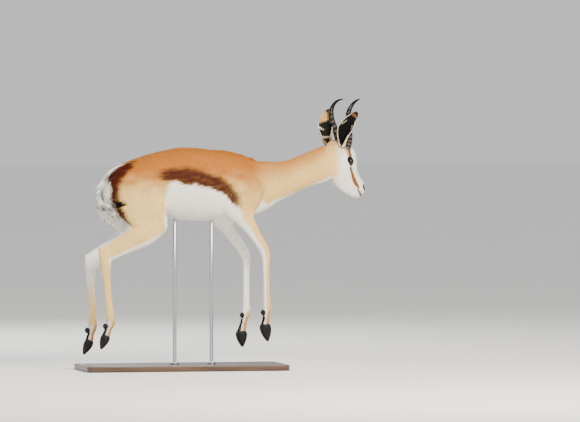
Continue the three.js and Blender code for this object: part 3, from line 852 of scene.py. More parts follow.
@dataclass(frozen=True)
class Markings:
    """The coat's pattern: pale, rust, white and black, each from 0 to 1, worked out from the anatomy.

    Edges are given in millimetres of the CAD frame, at the x or height that stands beside them.
    """

    stripe_x: tuple[float, ...] = (-118, -100, -76, -36, 12, 52, 98, 140, 165, 182, 205, 228)
    stripe_top: tuple[float, ...] = (766, 778, 787, 791, 795, 785, 772, 757, 740, 722, 697, 672)
    stripe_foot: tuple[float, ...] = (752, 744, 736, 737, 724, 716, 707, 694, 674, 655, 641, 628)
    belly_x: tuple[float, ...] = (-300, -200, -110, -84, -76, -66, -36, 12, 52, 98, 140, 165, 182, 205,
                                  228, 258,
                                  276, 308, 340, 424, 504, 560, 600)
    belly_top: tuple[float, ...] = (560, 570, 585, 610, 670, 734, 737, 724, 716, 707, 694, 674, 655, 641,
                                    632, 643,
                                    660, 663, 652, 680, 710, 729, 746)
    rump_z: tuple[float, ...] = (545, 563, 597, 628, 655, 688, 748, 770, 790, 807, 820)
    rump_white: tuple[float, ...] = (-205, -217, -253, -281, -290, -295, -296, -287, -256, -226, -215)
    rump_front: tuple[float, ...] = (-198, -208, -228, -240, -256, -262, -243, -225, -202, -188, -182)
    eye_line: Rows = ((94, -9, 3), (105, -16, 5), (122, -20, 7), (150, -24, 10), (171, -26, 9),
                      (197, -25, 4.5))
    brow_patch: Rows = ((36, 38, 6), (51, 28, 9), (68, 18, 8))
    ear_patch: Rows = ((-4, 26, 7), (16, 24, 10), (36, 22, 8))
    # The crease where the shoulder meets the neck: carved into the skin and painted with shade
    shoulder_line: Rows = ((258, 797, 1), (294, 744, 3), (315, 703, 3.5), (316, 684, 3), (303, 664, 2))
    socket: tuple[float, float] = (20.5, 17.0)
    haunch_top: float = 768
    haunch_depth: float = 232
    white_turn: float = 46
    band_turn: float = 26

    def fold(self, reading: Reading, soft: float) -> np.ndarray:
        """How near points are to the fold where the shoulder meets the neck: the line that is painted with
        shade.
        """
        x, y, z = (reading.points / MM).T
        near = near_path(x, z, self.shoulder_line, soft) * smoothstep(30, 50, np.abs(y))
        return near * reading.part(Region.TRUNK, Region.SHOULDER)

    def rump(self, reading: Reading, legs: Sequence[HindLeg], ragged: np.ndarray) -> tuple[np.ndarray, ...]:
        """The rump's white patch, the rust band on each side of it, and the dark line between them.

        They swing with the haunches, and on the left the band lies further round towards the tail.
        """
        x, y, z = (reading.points / MM).T
        depth = np.clip((self.haunch_top - z) / self.haunch_depth, 0, 1.2)
        swing = sum(np.where(y * leg.flank.value > 0, leg.swing * depth ** 2, 0) for leg in legs)
        turned = smoothstep(36, 52, y) * fall(735, 785, z)
        rear = x - swing * reading.part(Region.HAUNCH) + self.white_turn * turned
        inward = rear - (np.interp(z, self.rump_z, self.rump_white) + 1.6 * ragged)
        beyond = rear - (np.interp(z, self.rump_z, self.rump_front) + 2.0 * ragged) - self.band_turn * turned
        band = smoothstep(-3, 3, inward) * fall(-16, 8, beyond) * reading.part(Region.TRUNK, Region.HAUNCH)
        band = band * smoothstep(540, 575, z) * smoothstep(18, 34, np.abs(y))
        return fall(-3, 3, inward), band, 0.35 * bell((inward - 3) / 5) * band

    def body(self, reading: Reading, legs: Sequence[HindLeg], under: np.ndarray, fine: np.ndarray,
             broad: np.ndarray) -> Marks:
        """Trunk, shoulders and haunches: tan above, cream below, the dark stripe, and the white under it."""
        x, y, z = (reading.points / MM).T
        ragged = 2.2 * fine + 2.0 * broad
        trunk, shoulder = reading.part(Region.TRUNK), reading.part(Region.SHOULDER)
        haunch, _, over, out = reading.on(Region.HAUNCH)
        top = np.interp(x, self.stripe_x, self.stripe_top) + ragged
        foot = np.interp(x, self.stripe_x, self.stripe_foot) + 1.5 * ragged
        ends = smoothstep(-108, -84, x + ragged) * fall(196, 238, x)
        stripe = smoothstep(-3, 5, z - foot) * fall(-18, 8, z - top) * ends * (0.93 + 0.07 * fine)
        patch, band, line = self.rump(reading, legs, ragged)
        rust = np.maximum(stripe * (trunk + shoulder + 0.7 * haunch), band)

        fade = 0.25 * smoothstep(590, 640, z) * smoothstep(200, 240, x) * shoulder
        level = fall(655, 785, z + 10 * broad) * (1 - fade)
        throat = 0.2 + 0.65 * fall(-0.3, 0.9, reading.mean(reading.over, Region.TRUNK))
        ahead = smoothstep(270, 340, x)
        pale = (trunk * (1 - ahead) + shoulder + haunch) * level + trunk * ahead * throat

        middle = fall(17, 26, np.abs(y) + ragged) * fall(-238, -224, x + ragged)
        front = smoothstep(0.88, 0.95, over + 0.01 * ragged) * fall(596, 640, z)
        inside = fall(-0.35, -0.1, out) * fall(690, 730, z)
        white = trunk * np.maximum.reduce([under, patch, middle])
        white = white + shoulder * fall(-4, 4, z - foot) * fall(214, 232, x)
        white = white + haunch * np.maximum.reduce([front, patch, inside])
        return pale, rust, white, np.maximum(line, 0.16 * stripe)

    def legs(self, reading: Reading, marks: Marks, fine: np.ndarray) -> Marks:
        """The marks with the legs: tan in front, white inside and behind, and a black heel."""
        pale, rust, white, black = marks
        gaskin, _, over, out = reading.on(Region.GASKIN)
        edges = np.maximum(smoothstep(0.52, 0.72, over), fall(-0.97, -0.86, over))
        white = white + gaskin * np.maximum(edges, fall(-0.35, -0.1, out + 0.03 * fine))
        pale = pale + gaskin
        for region, start, turn in ((Region.FORELEG, -0.12, 0.28), (Region.HINDLEG, -0.98, 0.0)):
            leg, t, over, out = reading.on(region)
            limit = start - turn * smoothstep(0.45, 0.95, t)
            behind = fall(limit - 0.12, limit + 0.12, over + 0.06 * fine)
            inside = fall(-0.4, -0.05, out) * fall(0.7, 0.84, t)
            if region is Region.HINDLEG:
                inside = inside * fall(0.3, 0.7, t)
                behind = np.maximum(behind, smoothstep(0.72, 0.9, over) * fall(0.3, 0.45, t))
            white = white + leg * np.maximum(behind * (1 - 0.6 * smoothstep(0.82, 0.9, t)), inside)
            white = white + 0.8 * leg * smoothstep(0.76, 0.8, t) * fall(-0.2, 0.25, over + 0.1 * fine)
            heel = fall(-0.62, -0.3, over + 0.12 * fine) * smoothstep(0.84, 0.88, t)
            black = np.maximum(black, leg * heel)
            pale = pale + leg * (1 - 0.75 * smoothstep(0.66, 0.92, t))
        return pale, rust, white, black

    def face(self, reading: Reading, marks: Marks, head: Head, under: np.ndarray, fine: np.ndarray) -> Marks:
        """The marks with a white face, a brown patch over the eye and a line from the eye to the mouth."""
        pale, rust, white, black = marks
        local = head.frame.local(reading.points)
        f, left, u = local.T
        on_head, trunk = reading.part(Region.HEAD), reading.part(Region.TRUNK)
        crown = fall(36, 54, f + 3 * fine) * smoothstep(14, 30, u)
        nape = trunk * smoothstep(-60, -30, f)
        cheeks = smoothstep(-26, 42, f + u + 3 * fine) * (1 - crown)
        poll = smoothstep(-110, -40, f) * smoothstep(-25, 20, u + 4 * fine) * fall(20, 50, f)
        white = white + on_head * cheeks + nape * cheeks * (1 - under)
        pale = (pale + on_head * (0.8 - 0.5 * crown)) * (1 - 0.6 * poll * (trunk + on_head))

        side = smoothstep(6, 12, np.abs(left))
        line = near_path(f + fine, u + fine, self.eye_line, 3.5) * side * on_head
        brow = near_path(f + fine, u + fine, self.brow_patch, 6) * side * on_head
        root = near_path(f + fine, u + fine, self.ear_patch, 12) * side * (on_head + nape)
        coloured = np.maximum.reduce([line, brow, 0.8 * root])
        streak = 0.6 * line * (1 - 0.5 * smoothstep(176, 200, f))
        rust = np.maximum.reduce([rust * (1 - on_head), streak, 0.66 * brow, 0.3 * root])

        lips = bell((u - head.mouth_height) / (3.4 + 2.4 * smoothstep(204, 216, f)))
        lips = lips * smoothstep(head.mouth_from, head.mouth_from + 8, f)
        dark = [black, line * fall(108, 126, f), 0.95 * on_head * lips]
        for flank in Flank:
            centre, look = head.eye_place(flank)
            away = (reading.points - centre) / MM
            ahead = unit(head.frame.axes[0] - dot(head.frame.axes[0], look) * look)
            long, across = away @ ahead / self.socket[0], away @ np.cross(look, ahead) / self.socket[1]
            dark.append((away @ look > 0) * fall(0.9, 1.08, np.hypot(long, across)))
            dark.append(on_head * fall(1.3, 1.75, head.nostril_ring(local, flank)))
        return pale * (1 - 0.8 * coloured), rust, white * (1 - coloured), np.maximum.reduce(dark)

    def paint(self, reading: Reading, head: Head, legs: Sequence[HindLeg]) -> np.ndarray:
        """The four marks at each point, as rows of pale, rust, white and black, with painted shade in the
        shoulder's crease.
        """
        x, _, z = (reading.points / MM).T
        fine, broad = ripples(reading.points, 0.010, 3), ripples(reading.points, 0.05, 4)
        belly = np.interp(x, self.belly_x, self.belly_top) + 1.3 * (2.2 * fine + 2.0 * broad)
        under = fall(-4, 4, z - belly)
        marks = self.body(reading, legs, under, fine, broad)
        marks = self.legs(reading, marks, fine)
        pale, rust, white, black = self.face(reading, marks, head, under, fine)
        # Painted shade: a line of rust along the crease where the shoulder meets the neck
        rust = np.maximum(rust, 0.35 * self.fold(reading, 5))
        return np.clip(np.stack([pale, rust, white, black], axis=1), 0, 1)


# The skin


@dataclass(frozen=True)
class Groom:
    """The length, width and height of a tuft at each point, in millimetres."""

    def sizes(self, reading: Reading, marks: np.ndarray, head: Head) -> np.ndarray:
        """Rows of length, width and height. Hair is shortest on the face and feet."""
        x, _, z = (reading.points / MM).T
        f = head.frame.local(reading.points)[:, 0]
        length = 14.0 * reading.part(Region.TRUNK) + 12.5 * reading.part(Region.SHOULDER)
        length += 13.0 * reading.part(Region.HAUNCH) + 11.0 * reading.part(Region.GASKIN)
        for region, start, end in ((Region.FORELEG, 10.0, 5.5), (Region.HINDLEG, 9.0, 5.5)):
            t = reading.mean(reading.t, region)
            length += reading.part(region) * (start + (end - start) * smoothstep(0.1, 0.5, t))
        on_face = 9.0 - 5.0 * smoothstep(30, 120, f) - 1.3 * smoothstep(165, 205, f)
        length += reading.part(Region.HEAD) * on_face
        rump = smoothstep(560, 640, z) * fall(-285, -255, x) * marks[:, 2]
        length = length * (1 + 1.0 * rump)
        width = 0.5 + 0.15 * length
        height = 0.15 + 0.085 * length
        return np.stack([length, width, height * (1 + 0.6 * rump)], axis=1)


@dataclass(frozen=True)
class Hide:
    """The animal's one skin, and everything that is known at each of its points."""

    anatomy: Anatomy
    head: Head
    markings: Markings
    hind: Sequence[HindLeg]
    ears: Sequence[Ear]
    tail: Tail
    voxel: float = 0.0021
    most: int = 116_000

    def fused(self) -> Shell:
        """The forms as one smooth closed surface: joined on a fine grid, then eased along their seams."""
        shells = [form.loft(-form.depth).surface(form.rings, form.sides) for form in self.anatomy.forms]
        for shell in shells:
            shell.marks = {}
        rough = write_mesh("rough_skin", joined(shells))
        remesh = rough.modifiers.new("fuse", "REMESH")
        remesh.mode, remesh.voxel_size = "VOXEL", self.voxel
        shell = modified(rough)
        reading = self.anatomy.read(shell.points)
        gaps = np.sort(reading.gap, axis=1)
        seam = fall(0.002, 0.012, gaps[:, 1]) * (1 - reading.part(Region.HEAD))
        feet = np.maximum(
            smoothstep(0.75, 0.85, reading.mean(reading.t, Region.FORELEG)) * reading.part(Region.FORELEG),
            smoothstep(0.75, 0.85, reading.mean(reading.t, Region.HINDLEG)) * reading.part(Region.HINDLEG),
        )
        hock = reading.part(Region.HINDLEG) * fall(0.12, 0.2, reading.mean(reading.t, Region.HINDLEG))
        shell = relaxed(shell, np.clip(seam * (1 - feet) * (1 - 0.8 * hock), 0, 1), 30)
        shell = relaxed(shell, np.full(len(shell.points), 1.0), 4, 0.5, 0.52)
        piece = write_mesh("even_skin", shell)
        group = piece.vertex_groups.new(name="thin")
        group.add(np.flatnonzero(reading.part(Region.HEAD) < 0.5).tolist(), 1.0, "REPLACE")
        thin = piece.modifiers.new("thin", "DECIMATE")
        thin.ratio = min(1.0, self.most / len(shell.tris))
        thin.vertex_group, thin.vertex_group_factor = group.name, 1.0
        return modified(piece)

    def detailed(self, shell: Shell) -> Shell:
        """The fused skin with finer faces round the eyes, nose and mouth, and the head's features."""
        local = self.head.frame.local(shell.points[shell.tris].mean(axis=1))
        local[:, 1] = np.abs(local[:, 1])
        eye = np.linalg.norm(local - np.array(self.head.eye), axis=1) < 27
        shell = refined(shell, eye | (local[:, 0] > 178))
        return self.head.carved(shell)

    def creased(self, shell: Shell, reading: Reading) -> Shell:
        """The skin with the crease between shoulder and neck, and the groove before the hock's cord."""
        x, y, z = (reading.points / MM).T
        crease = near_path(x, z, self.markings.shoulder_line, 9) * smoothstep(30, 50, np.abs(y))
        crease = crease * fall(735, 780, z)
        crease = crease * reading.part(Region.TRUNK, Region.SHOULDER)
        t, over = reading.mean(reading.t, Region.GASKIN), reading.mean(reading.over, Region.GASKIN)
        cord = np.exp(-(((over + 0.42) / 0.2) ** 2)) * smoothstep(0.5, 0.8, t) * reading.part(Region.GASKIN)
        sink = 2.2 * crease + 3.0 * cord
        for region in (Region.FORELEG, Region.HINDLEG):
            t, over = reading.mean(reading.t, region), reading.mean(reading.over, region)
            run = between(0.42, 0.74, 0.08, t) * reading.part(region)
            sink = sink + 1.3 * np.exp(-(((over + 0.25) / 0.22) ** 2)) * run
        return Shell(shell.points - shell.normals() * (sink * MM)[:, None], shell.tris)

    def charted(self, number: np.ndarray, t: np.ndarray, turn: np.ndarray) -> np.ndarray:
        """A place on the unwrap: each form has a cell, with its line across it and its turn up it."""
        cells = 4
        column, row = number % cells, number // cells
        return np.stack([column + 0.03 + 0.94 * t, row + 0.03 + 0.94 * turn / (2 * math.pi)], axis=1) / cells

    def body(self) -> Shell:
        """The fused skin with marks, lie of the hair, tuft sizes, unwrap and region at each vertex."""
        shell = self.detailed(self.fused())
        reading = self.anatomy.read(shell.points)
        shell = self.creased(shell, reading)
        marks = self.markings.paint(reading, self.head, self.hind)
        own = np.argmax(reading.share, axis=1)
        rows = np.arange(len(own))
        turn = np.arctan2(reading.over[rows, own], -reading.out[rows, own]) % (2 * math.pi)
        region = np.array([form.region.value for form in self.anatomy.forms], float)
        shell.marks = {
            "marks": marks,
            "lie": self.anatomy.lie(reading),
            "size": Groom().sizes(reading, marks, self.head),
            "chart": self.charted(own, reading.t[rows, own], turn),
            "region": region[own],
        }
        return shell

    def ear(self, ear: Ear, number: int) -> Shell:
        """An ear's skin: tan outside with a brown tip, black inside with white streaks and edges, and a root
        that is painted with shade where it is not white.
        """
        shell = ear.shell()
        t, turn = shell.marks["t"], shell.marks["turn"]
        fine = ripples(shell.points, 0.008, 11 + number)
        inner = fall(-0.05, 0.05, np.sin(turn))
        wave = np.cos(turn)
        rim = smoothstep(0.8, 0.94, np.abs(wave) + 0.05 * fine - 0.1 * fall(0.1, 0.4, t))
        tip = smoothstep(0.84, 0.94, t + 0.01 * fine)
        streak = np.zeros_like(t)
        for path in ear.streaks:
            streak = np.maximum(streak, near_path(t, wave, path, 0.024))
        root = ear.root_white * fall(0.02, 0.09, t) * (1 - inner)
        # Painted shade: where the root is not white it is darkened, as in the shadow of the horn
        dark = (1 - ear.root_white) * fall(0.14, 0.2, t + 0.02 * fine)
        upper = inner * smoothstep(ear.tan_from - 0.03, ear.tan_from + 0.05, t + 0.12 * wave) * (1 - tip)
        white = np.maximum(inner * np.maximum(rim, 0.9 * streak), root)
        white = np.maximum(white, (1 - inner) * rim * 0.8) * (1 - tip) * (1 - 0.6 * upper) * (1 - dark)
        black = np.maximum(inner * (1 - white) * (1 - upper) * (1 - 0.75 * tip), 0.35 * tip)
        # The painted shade at the root also lays black there
        black = np.maximum(black, 0.6 * dark)
        rust = np.maximum(tip, (1 - inner) * 0.25 * smoothstep(0.3, 0.8, t))
        rust = np.maximum(rust, 0.3 * upper)
        along = ear.line(t)[1]
        shell.marks = {
            "marks": np.clip(np.stack([0.7 + 0 * t, rust, white, black], axis=1), 0, 1),
            "lie": along,
            "size": np.stack([8.0 - 2.5 * t, 1.7 - 0.5 * t, 0.7 + 0 * t], axis=1),
            "chart": self.charted(np.full(len(t), number), t, turn),
            "region": np.full(len(t), float(Region.EAR.value)),
        }
        return shell

    def tail_skin(self, number: int) -> Shell:
        """The tail's skin: white, with a black end."""
        loft = self.tail.loft(-3.0)
        shell = loft.surface(90, 28)
        t, turn = shell.marks["t"], shell.marks["turn"]
        black = smoothstep(0.75, 0.79, t + 0.015 * ripples(shell.points, 0.01, 21))
        shell.marks = {
            "marks": np.stack([0 * t, 0 * t, 1 - black, black], axis=1),
            "lie": loft.line(t).along,
            "size": np.stack([13 + 0 * t, 2.0 + 0 * t, 1.6 + 0 * t], axis=1),
            "chart": self.charted(np.full(len(t), number), t, turn),
            "region": np.full(len(t), float(Region.TAIL.value)),
        }
        return shell

    def build(self) -> Shell:
        """The whole skin, with its hair laid along its surface."""
        count = len(self.anatomy.forms)
        parts = [self.body()] + [self.ear(ear, count + k) for k, ear in enumerate(self.ears)]
        shell = joined(parts + [self.tail_skin(count + len(self.ears))])
        normal = shell.normals()
        lie = shell.marks["lie"]
        shell.marks["lie"] = unit(lie - dot(lie, normal)[:, None] * normal)
        shell.marks["normal"] = normal
        return shell


# The coat


@dataclass(frozen=True)
class Roots:
    """Places where tufts grow, with all that is known of the skin there."""

    points: np.ndarray
    fields: dict[str, np.ndarray]

    def chosen(self, keep: np.ndarray) -> "Roots":
        """Only some of the roots."""
        return Roots(self.points[keep], {name: values[keep] for name, values in self.fields.items()})


def scattered(skin: Shell, density: np.ndarray, rng: np.random.Generator) -> Roots:
    """Random places on the skin.

    Each triangle gets its share by area times density, with the fraction left to chance. A place is
    a weighted mean of the corners, the weights from two random numbers folded into the triangle.

    Args:
        skin: the skin with its marks.
        density: tufts for each square metre, one number a triangle.
        rng: the seeded source of chance.
    """
    a, b, c = (skin.points[skin.tris[:, k]] for k in range(3))
    wanted = 0.5 * np.linalg.norm(np.cross(b - a, c - a), axis=1) * density
    count = np.floor(wanted + rng.random(len(wanted))).astype(int)
    owner = np.repeat(np.arange(len(count)), count)
    u, v = rng.random(len(owner)), rng.random(len(owner))
    fold = u + v > 1
    u, v = np.where(fold, 1 - u, u), np.where(fold, 1 - v, v)
    weights = np.stack([1 - u - v, u, v], axis=1)
    corners = skin.tris[owner]

    def blend(values: np.ndarray) -> np.ndarray:
        """A value at each root: the mean of its triangle's corners, by weight."""
        picked = values[corners]
        return (picked * (weights if values.ndim == 1 else weights[..., None])).sum(axis=1)

    fields = {name: blend(values) for name, values in skin.marks.items() if name not in ("chart", "region")}
    for name in ("chart", "region"):
        fields[name] = skin.marks[name][corners[:, 0]]
    return Roots(blend(skin.points), fields)


def tufts(roots: Roots, rng: np.random.Generator, rows: int = 1, stray: float = 0.14,
          bend: np.ndarray | None = None, sink: float = 0.6) -> Shell:
    """Tufts of hair as thin closed locks, all built at once.

    A lock runs from a root sunk in the skin to its tip. At a share s of its length it stands at
    height (1 - (1-s) cubed)(1 - 0.35 s squared) off the skin, less the sink times (1-s) to the sixth,
    and bends aside by bend times s squared. Each row between is a low triangle, as wide as the
    square root of sine of pi s. The light falls on it as on a rounded strand.

    Args:
        roots: where they grow.
        rng: the seeded source of chance.
        rows: rows of three points between root and tip.
        stray: how far a tuft strays sideways from the lie, as a share of its length.
        bend: a sideways pull for each tuft, as a share of its length.
        sink: how deep the root lies, in millimetres.

    Returns:
        One shell with marks, tone, tip, shading and unwrap.
    """
    count = len(roots.points)
    normal = unit(roots.fields["normal"])
    lie = unit(roots.fields["lie"] - dot(roots.fields["lie"], normal)[:, None] * normal)
    side = np.cross(lie, normal)
    lie = unit(lie + side * rng.normal(0, stray, (count, 1)))
    side = np.cross(lie, normal)
    length, width, height = (roots.fields["size"] * MM).T
    length = length * rng.uniform(0.75, 1.25, count)
    height = height * rng.uniform(0.6, 1.4, count)
    width = width * rng.uniform(0.8, 1.2, count)
    pull = np.zeros((count, 3)) if bend is None else bend
    tone = rng.normal(0, 1, count)

    share = np.concatenate([[0.0], (np.arange(rows) + 0.75) / (rows + 0.75), [1.0]])
    points, shading, tips, spots = [], [], [], []
    for k, s in enumerate(share):
        rise = height * (1 - (1 - s) ** 3) * (1 - 0.35 * s * s) - sink * MM * (1 - s) ** 6
        centre = roots.points + lie * (length * s)[:, None] + normal * rise[:, None]
        centre = centre + pull * (length * s * s)[:, None]
        if k in (0, rows + 1):
            points.append(centre)
            shading.append(unit(normal + lie * (0.3 * s)))
            tips.append(np.full(count, s))
            spots.append(np.tile([0.0, s], (count, 1)))
            continue
        half = 0.5 * width * math.sqrt(math.sin(math.pi * min(s, 0.85)))
        for out, up in ((-1, 0.0), (1, 0.0), (0, 0.55)):
            points.append(centre + side * (out * half)[:, None] + normal * (up * half)[:, None])
            shading.append(unit(normal + side * (0.5 * out)))
            tips.append(np.full(count, s))
            spots.append(np.tile([0.5 * out, s], (count, 1)))
    each = len(points)
    number = np.arange(count)[:, None] * each
    faces = [(0, 1, 3), (0, 3, 2), (0, 2, 1)]
    for row in range(rows - 1):
        low, high = 1 + 3 * row, 4 + 3 * row
        for p, q in ((0, 2), (2, 1), (1, 0)):
            faces += [(low + p, high + p, high + q), (low + p, high + q, low + q)]
    low, tip = 1 + 3 * (rows - 1), each - 1
    faces += [(low, tip, low + 2), (low + 2, tip, low + 1), (low + 1, tip, low)]
    tris = (number[:, None, :] + np.array(faces)[None]).reshape(-1, 3)

    def woven(values: list[np.ndarray]) -> np.ndarray:
        """Each tuft's values in a row, tuft after tuft."""
        stacked = np.stack(values, axis=1)
        return stacked.reshape(count * each, *stacked.shape[2:])

    patch = 0.0028
    uv = np.repeat(roots.fields["chart"], each, axis=0) + woven(spots) * patch
    shell = Shell(woven(points), tris, {
        "marks": np.repeat(roots.fields["marks"], each, axis=0),
        "tone": np.repeat(tone, each),
        "tip": woven(tips),
        "shading": woven(shading),
        "uv": uv,
    })
    # The first tuft tells whether the faces point out, as all are built alike
    first = Shell(shell.points[:each], shell.tris[:len(faces)])
    if first.volume() < 0:
        shell.tris = shell.tris[:, ::-1].copy()
    return shell


class CoatPiece(Enum):
    """The coat's pieces, each under the most triangles that one may have."""

    HINDQUARTERS = ("coat_hindquarters", (Region.HAUNCH, Region.TAIL))
    BARREL = ("coat_barrel", (Region.TRUNK,))
    FORENECK = ("coat_neck", (Region.TRUNK,))
    SHOULDERS = ("coat_shoulders_forelegs", (Region.SHOULDER, Region.FORELEG))
    HINDLEGS = ("coat_hindlegs", (Region.GASKIN, Region.HINDLEG))
    HEAD = ("coat_head", (Region.HEAD, Region.EAR))


@dataclass(frozen=True)
class Coat:
    """The short coat over the skin, in pieces by region."""

    skin: Shell
    cover: float = 1.75
    neck_from: float = 0.215
    most: int = 32_500

    def roots(self, rng: np.random.Generator) -> Roots:
        """Roots all over the skin, as dense as the tufts are small."""
        size = self.skin.marks["size"][self.skin.tris].mean(axis=1)
        return scattered(self.skin, self.cover / (size[:, 0] * size[:, 1] * MM * MM), rng)

    def build(self) -> list[tuple[str, Shell]]:
        """Each piece's name and tufts."""
        rng = np.random.default_rng(SEED)
        roots = self.roots(rng)
        region, forward = roots.fields["region"], roots.points[:, 0]
        # No hair grows on the black marks of the head: eye sockets, nostrils and lips
        bare = (roots.fields["marks"][:, 3] > 0.5) & (region == Region.HEAD.value)
        pieces = []
        for piece in CoatPiece:
            name, regions = piece.value
            chosen = np.isin(region, [one.value for one in regions]) & ~bare
            if piece is CoatPiece.BARREL:
                chosen &= forward < self.neck_from
            if piece is CoatPiece.FORENECK:
                chosen &= forward >= self.neck_from
            keep = np.flatnonzero(chosen)
            log.info("%s: %d tufts", name, len(keep))
            if len(keep) > self.most:
                keep = rng.permutation(keep)[:self.most]
            pieces.append((name, tufts(roots.chosen(keep), rng)))
        return pieces


@dataclass(frozen=True)
class LongHair:
    """The long hair: the white fan of the rump, the tail's fringe and black tuft, and the ears' edges."""

    skin: Shell

    def grown(self, density: np.ndarray, size: Point, rng: np.random.Generator, rows: int, stray: float,
              pull: Point, spread: float = 0.0) -> Shell:
        """Locks of one kind.

        Args:
            density: locks for each square metre, one number a triangle.
            size: length, width and height in millimetres.
            rng: the seeded source of chance.
            rows: rows of points along a lock.
            stray: how far it strays sideways.
            pull: a bend that all share, as a share of their length.
            spread: how far they bend out along the skin's normal.
        """
        roots = scattered(self.skin, density, rng)
        roots.fields["size"] = np.tile(np.array(size, float), (len(roots.points), 1))
        bend = np.array(pull) + spread * roots.fields["normal"]
        shell = tufts(roots, rng, rows, stray, bend, 1.0)
        shell.marks["tone"] *= 3.2
        return shell

    def build(self) -> list[tuple[str, Shell]]:
        """Each piece's name and locks."""
        rng = np.random.default_rng(SEED + 1)
        middle = self.skin.points[self.skin.tris].mean(axis=1)
        mark = {name: values[self.skin.tris].mean(axis=1) for name, values in self.skin.marks.items()}
        region = self.skin.marks["region"][self.skin.tris[:, 0]]
        x, y, z = (middle / MM).T
        tail = region == Region.TAIL.value
        ear = region == Region.EAR.value
        fan = fall(-280, -250, x) * smoothstep(590, 640, z) * (mark["marks"][:, 2] > 0.6) * ~tail * (y < 34)
        crest = (np.abs(y) < 26) * between(-300, -236, 8, x) * (z > 745) * ~tail
        rump = joined([
            self.grown(fan * 60_000, (28, 2.8, 3.6), rng, 2, 0.26, (0.05, 0, -0.3), 0.1),
            self.grown(crest * 80_000, (30, 2.6, 3.0), rng, 2, 0.18, (-0.1, 0, -0.3), 0.05),
        ])
        end = mark["marks"][:, 3]
        tail_hair = joined([
            self.grown(tail * (1 - end) * 110_000, (30, 2.4, 3.4), rng, 3, 0.34, (0, 0, -0.4), 0.08),
            self.grown(tail * end * 300_000, (28, 2.2, 3.4), rng, 3, 0.34, (0.05, 0, 0.12), 0.12),
        ])
        edge = ear * (mark["marks"][:, 2] > 0.93)
        ears = self.grown(edge * 190_000, (11, 1.2, 1.6), rng, 2, 0.35, (0, 0, 0), 0.12)
        return [("hair_rump", rump), ("hair_tail", tail_hair), ("hair_ears", ears)]


# Eyes, horns and hooves


@dataclass(frozen=True)
class Eye:
    """An eye: a ball with a low swelling in front, which marks how far each point is from the pupil."""

    head: Head
    flank: Flank

    def build(self) -> Shell:
        """The ball, with the angle from where it looks and the angle of the pupil's long axis."""
        centre, look = self.head.eye_place(self.flank)
        rows, columns = 64, 96
        polar = math.pi * np.arange(rows + 1) / rows
        turn = 2 * math.pi * np.arange(columns) / columns
        across = unit(np.cross(look, self.head.frame.axes[2]))
        up = np.cross(across, look)
        ray = (
            np.cos(polar)[:, None, None] * look
            + np.sin(polar)[:, None, None]
            * (np.cos(turn)[None, :, None] * across + np.sin(turn)[None, :, None] * up)
        )
        radius = self.head.eye_radius * MM * (1 + 0.035 * np.exp(-((polar / 0.55) ** 2)))
        grid = centre + ray * radius[:, None, None]
        flat = np.broadcast_to((np.sin(polar)[:, None] * np.cos(turn)), grid.shape[:2]).copy()
        tall = np.broadcast_to((np.sin(polar)[:, None] * np.sin(turn)), grid.shape[:2]).copy()
        return closed_grid(grid, {"flat": flat, "tall": tall})


@dataclass(frozen=True)
class Horn:
    """A horn: ringed below, smooth at its tip, curved back and then forward again."""

    frame: HeadFrame
    flank: Flank
    path: Rows = (
        (34, 28, 36, 14.5), (16, 33, 59, 13.2), (-16, 41, 79, 12.4), (-51, 48, 97, 11.2),
        (-78, 53, 121, 9.8), (-88, 56, 150, 7.4), (-84, 55, 178, 4.6), (-73, 51, 198, 1.8),
    )
    rings: int = 9
    ringed: float = 0.62
    ridge: float = 0.1

    def ripple(self, t: np.ndarray) -> np.ndarray:
        """The rings' swelling: one plus the ridge times a cosine with rounded crests and sharp grooves."""
        fade = smoothstep(0, 0.16, self.ringed + 0.08 - t)
        wave = np.cos(t / self.ringed * self.rings * 2 * math.pi)
        return 1 + self.ridge * fade * (1.5 * np.sqrt((1 + wave) / 2 + 0.01) - 0.9)

    def build(self) -> Shell:
        """The horn with its place along and the height of its rings."""
        rows = tuple(
            (*self.frame.world((forward, self.flank.value * left, up)), radius, radius, radius)
            for forward, left, up, radius in self.path
        )
        loft = Loft(rows, side=tuple(self.frame.axes[1]), caps=(6, 2), ripple=self.ripple)
        shell = loft.surface(240, 48)
        shell.marks["ring"] = (self.ripple(shell.marks["t"]) - 1) / self.ridge
        del shell.marks["turn"]
        return shell


@dataclass(frozen=True)
class Foot:
    """The two claws and two dewclaws of a foot."""

    joints: Rows
    depth: float
    behind: float
    claw: Rows = ((-0.12, 17.5, 8.2), (0.1, 19.5, 9.4), (0.42, 16.5, 8.8), (0.72, 10, 6.6), (0.94, 3.6, 2.8))
    apart: float = 10
    dewclaw: Point = (8, 6, 11)
    dewclaw_apart: float = 9
    dewclaw_drop: float = 14

    def build_claw(self, side: int) -> Shell:
        """A claw, narrowing from the coronet to its point."""
        coronet, toe = np.array(self.joints[-2], float), np.array(self.joints[-1], float)
        rows = tuple(
            (*(coronet + (toe - coronet) * f + (0, side * self.apart, 0)), deep * self.depth,
             deep * self.depth, half)
            for f, deep, half in self.claw
        )
        shell = Loft(rows, caps=(4, 3), power=2.4).surface(56, 40)
        del shell.marks["turn"]
        return shell

    def build_dewclaw(self, side: int) -> Shell:
        """A dewclaw: an oval that narrows to its lower end."""
        x, y, z = self.joints[-3]
        deep, half, high = self.dewclaw
        x, y, z = x - self.behind, y + side * self.dewclaw_apart, z - self.dewclaw_drop
        rows = (
            (x, y, z + 0.8 * high, 0.5 * deep, 0.5 * deep, 0.5 * half),
            (x, y, z + 0.3 * high, deep, deep, half),
            (x, y, z - 0.3 * high, 0.9 * deep, 0.9 * deep, 0.9 * half),
            (x, y, z - 0.85 * high, 0.4 * deep, 0.4 * deep, 0.4 * half),
        )
        shell = Loft(rows, caps=(3, 2)).surface(28, 24)
        del shell.marks["turn"]
        return shell


# The stand


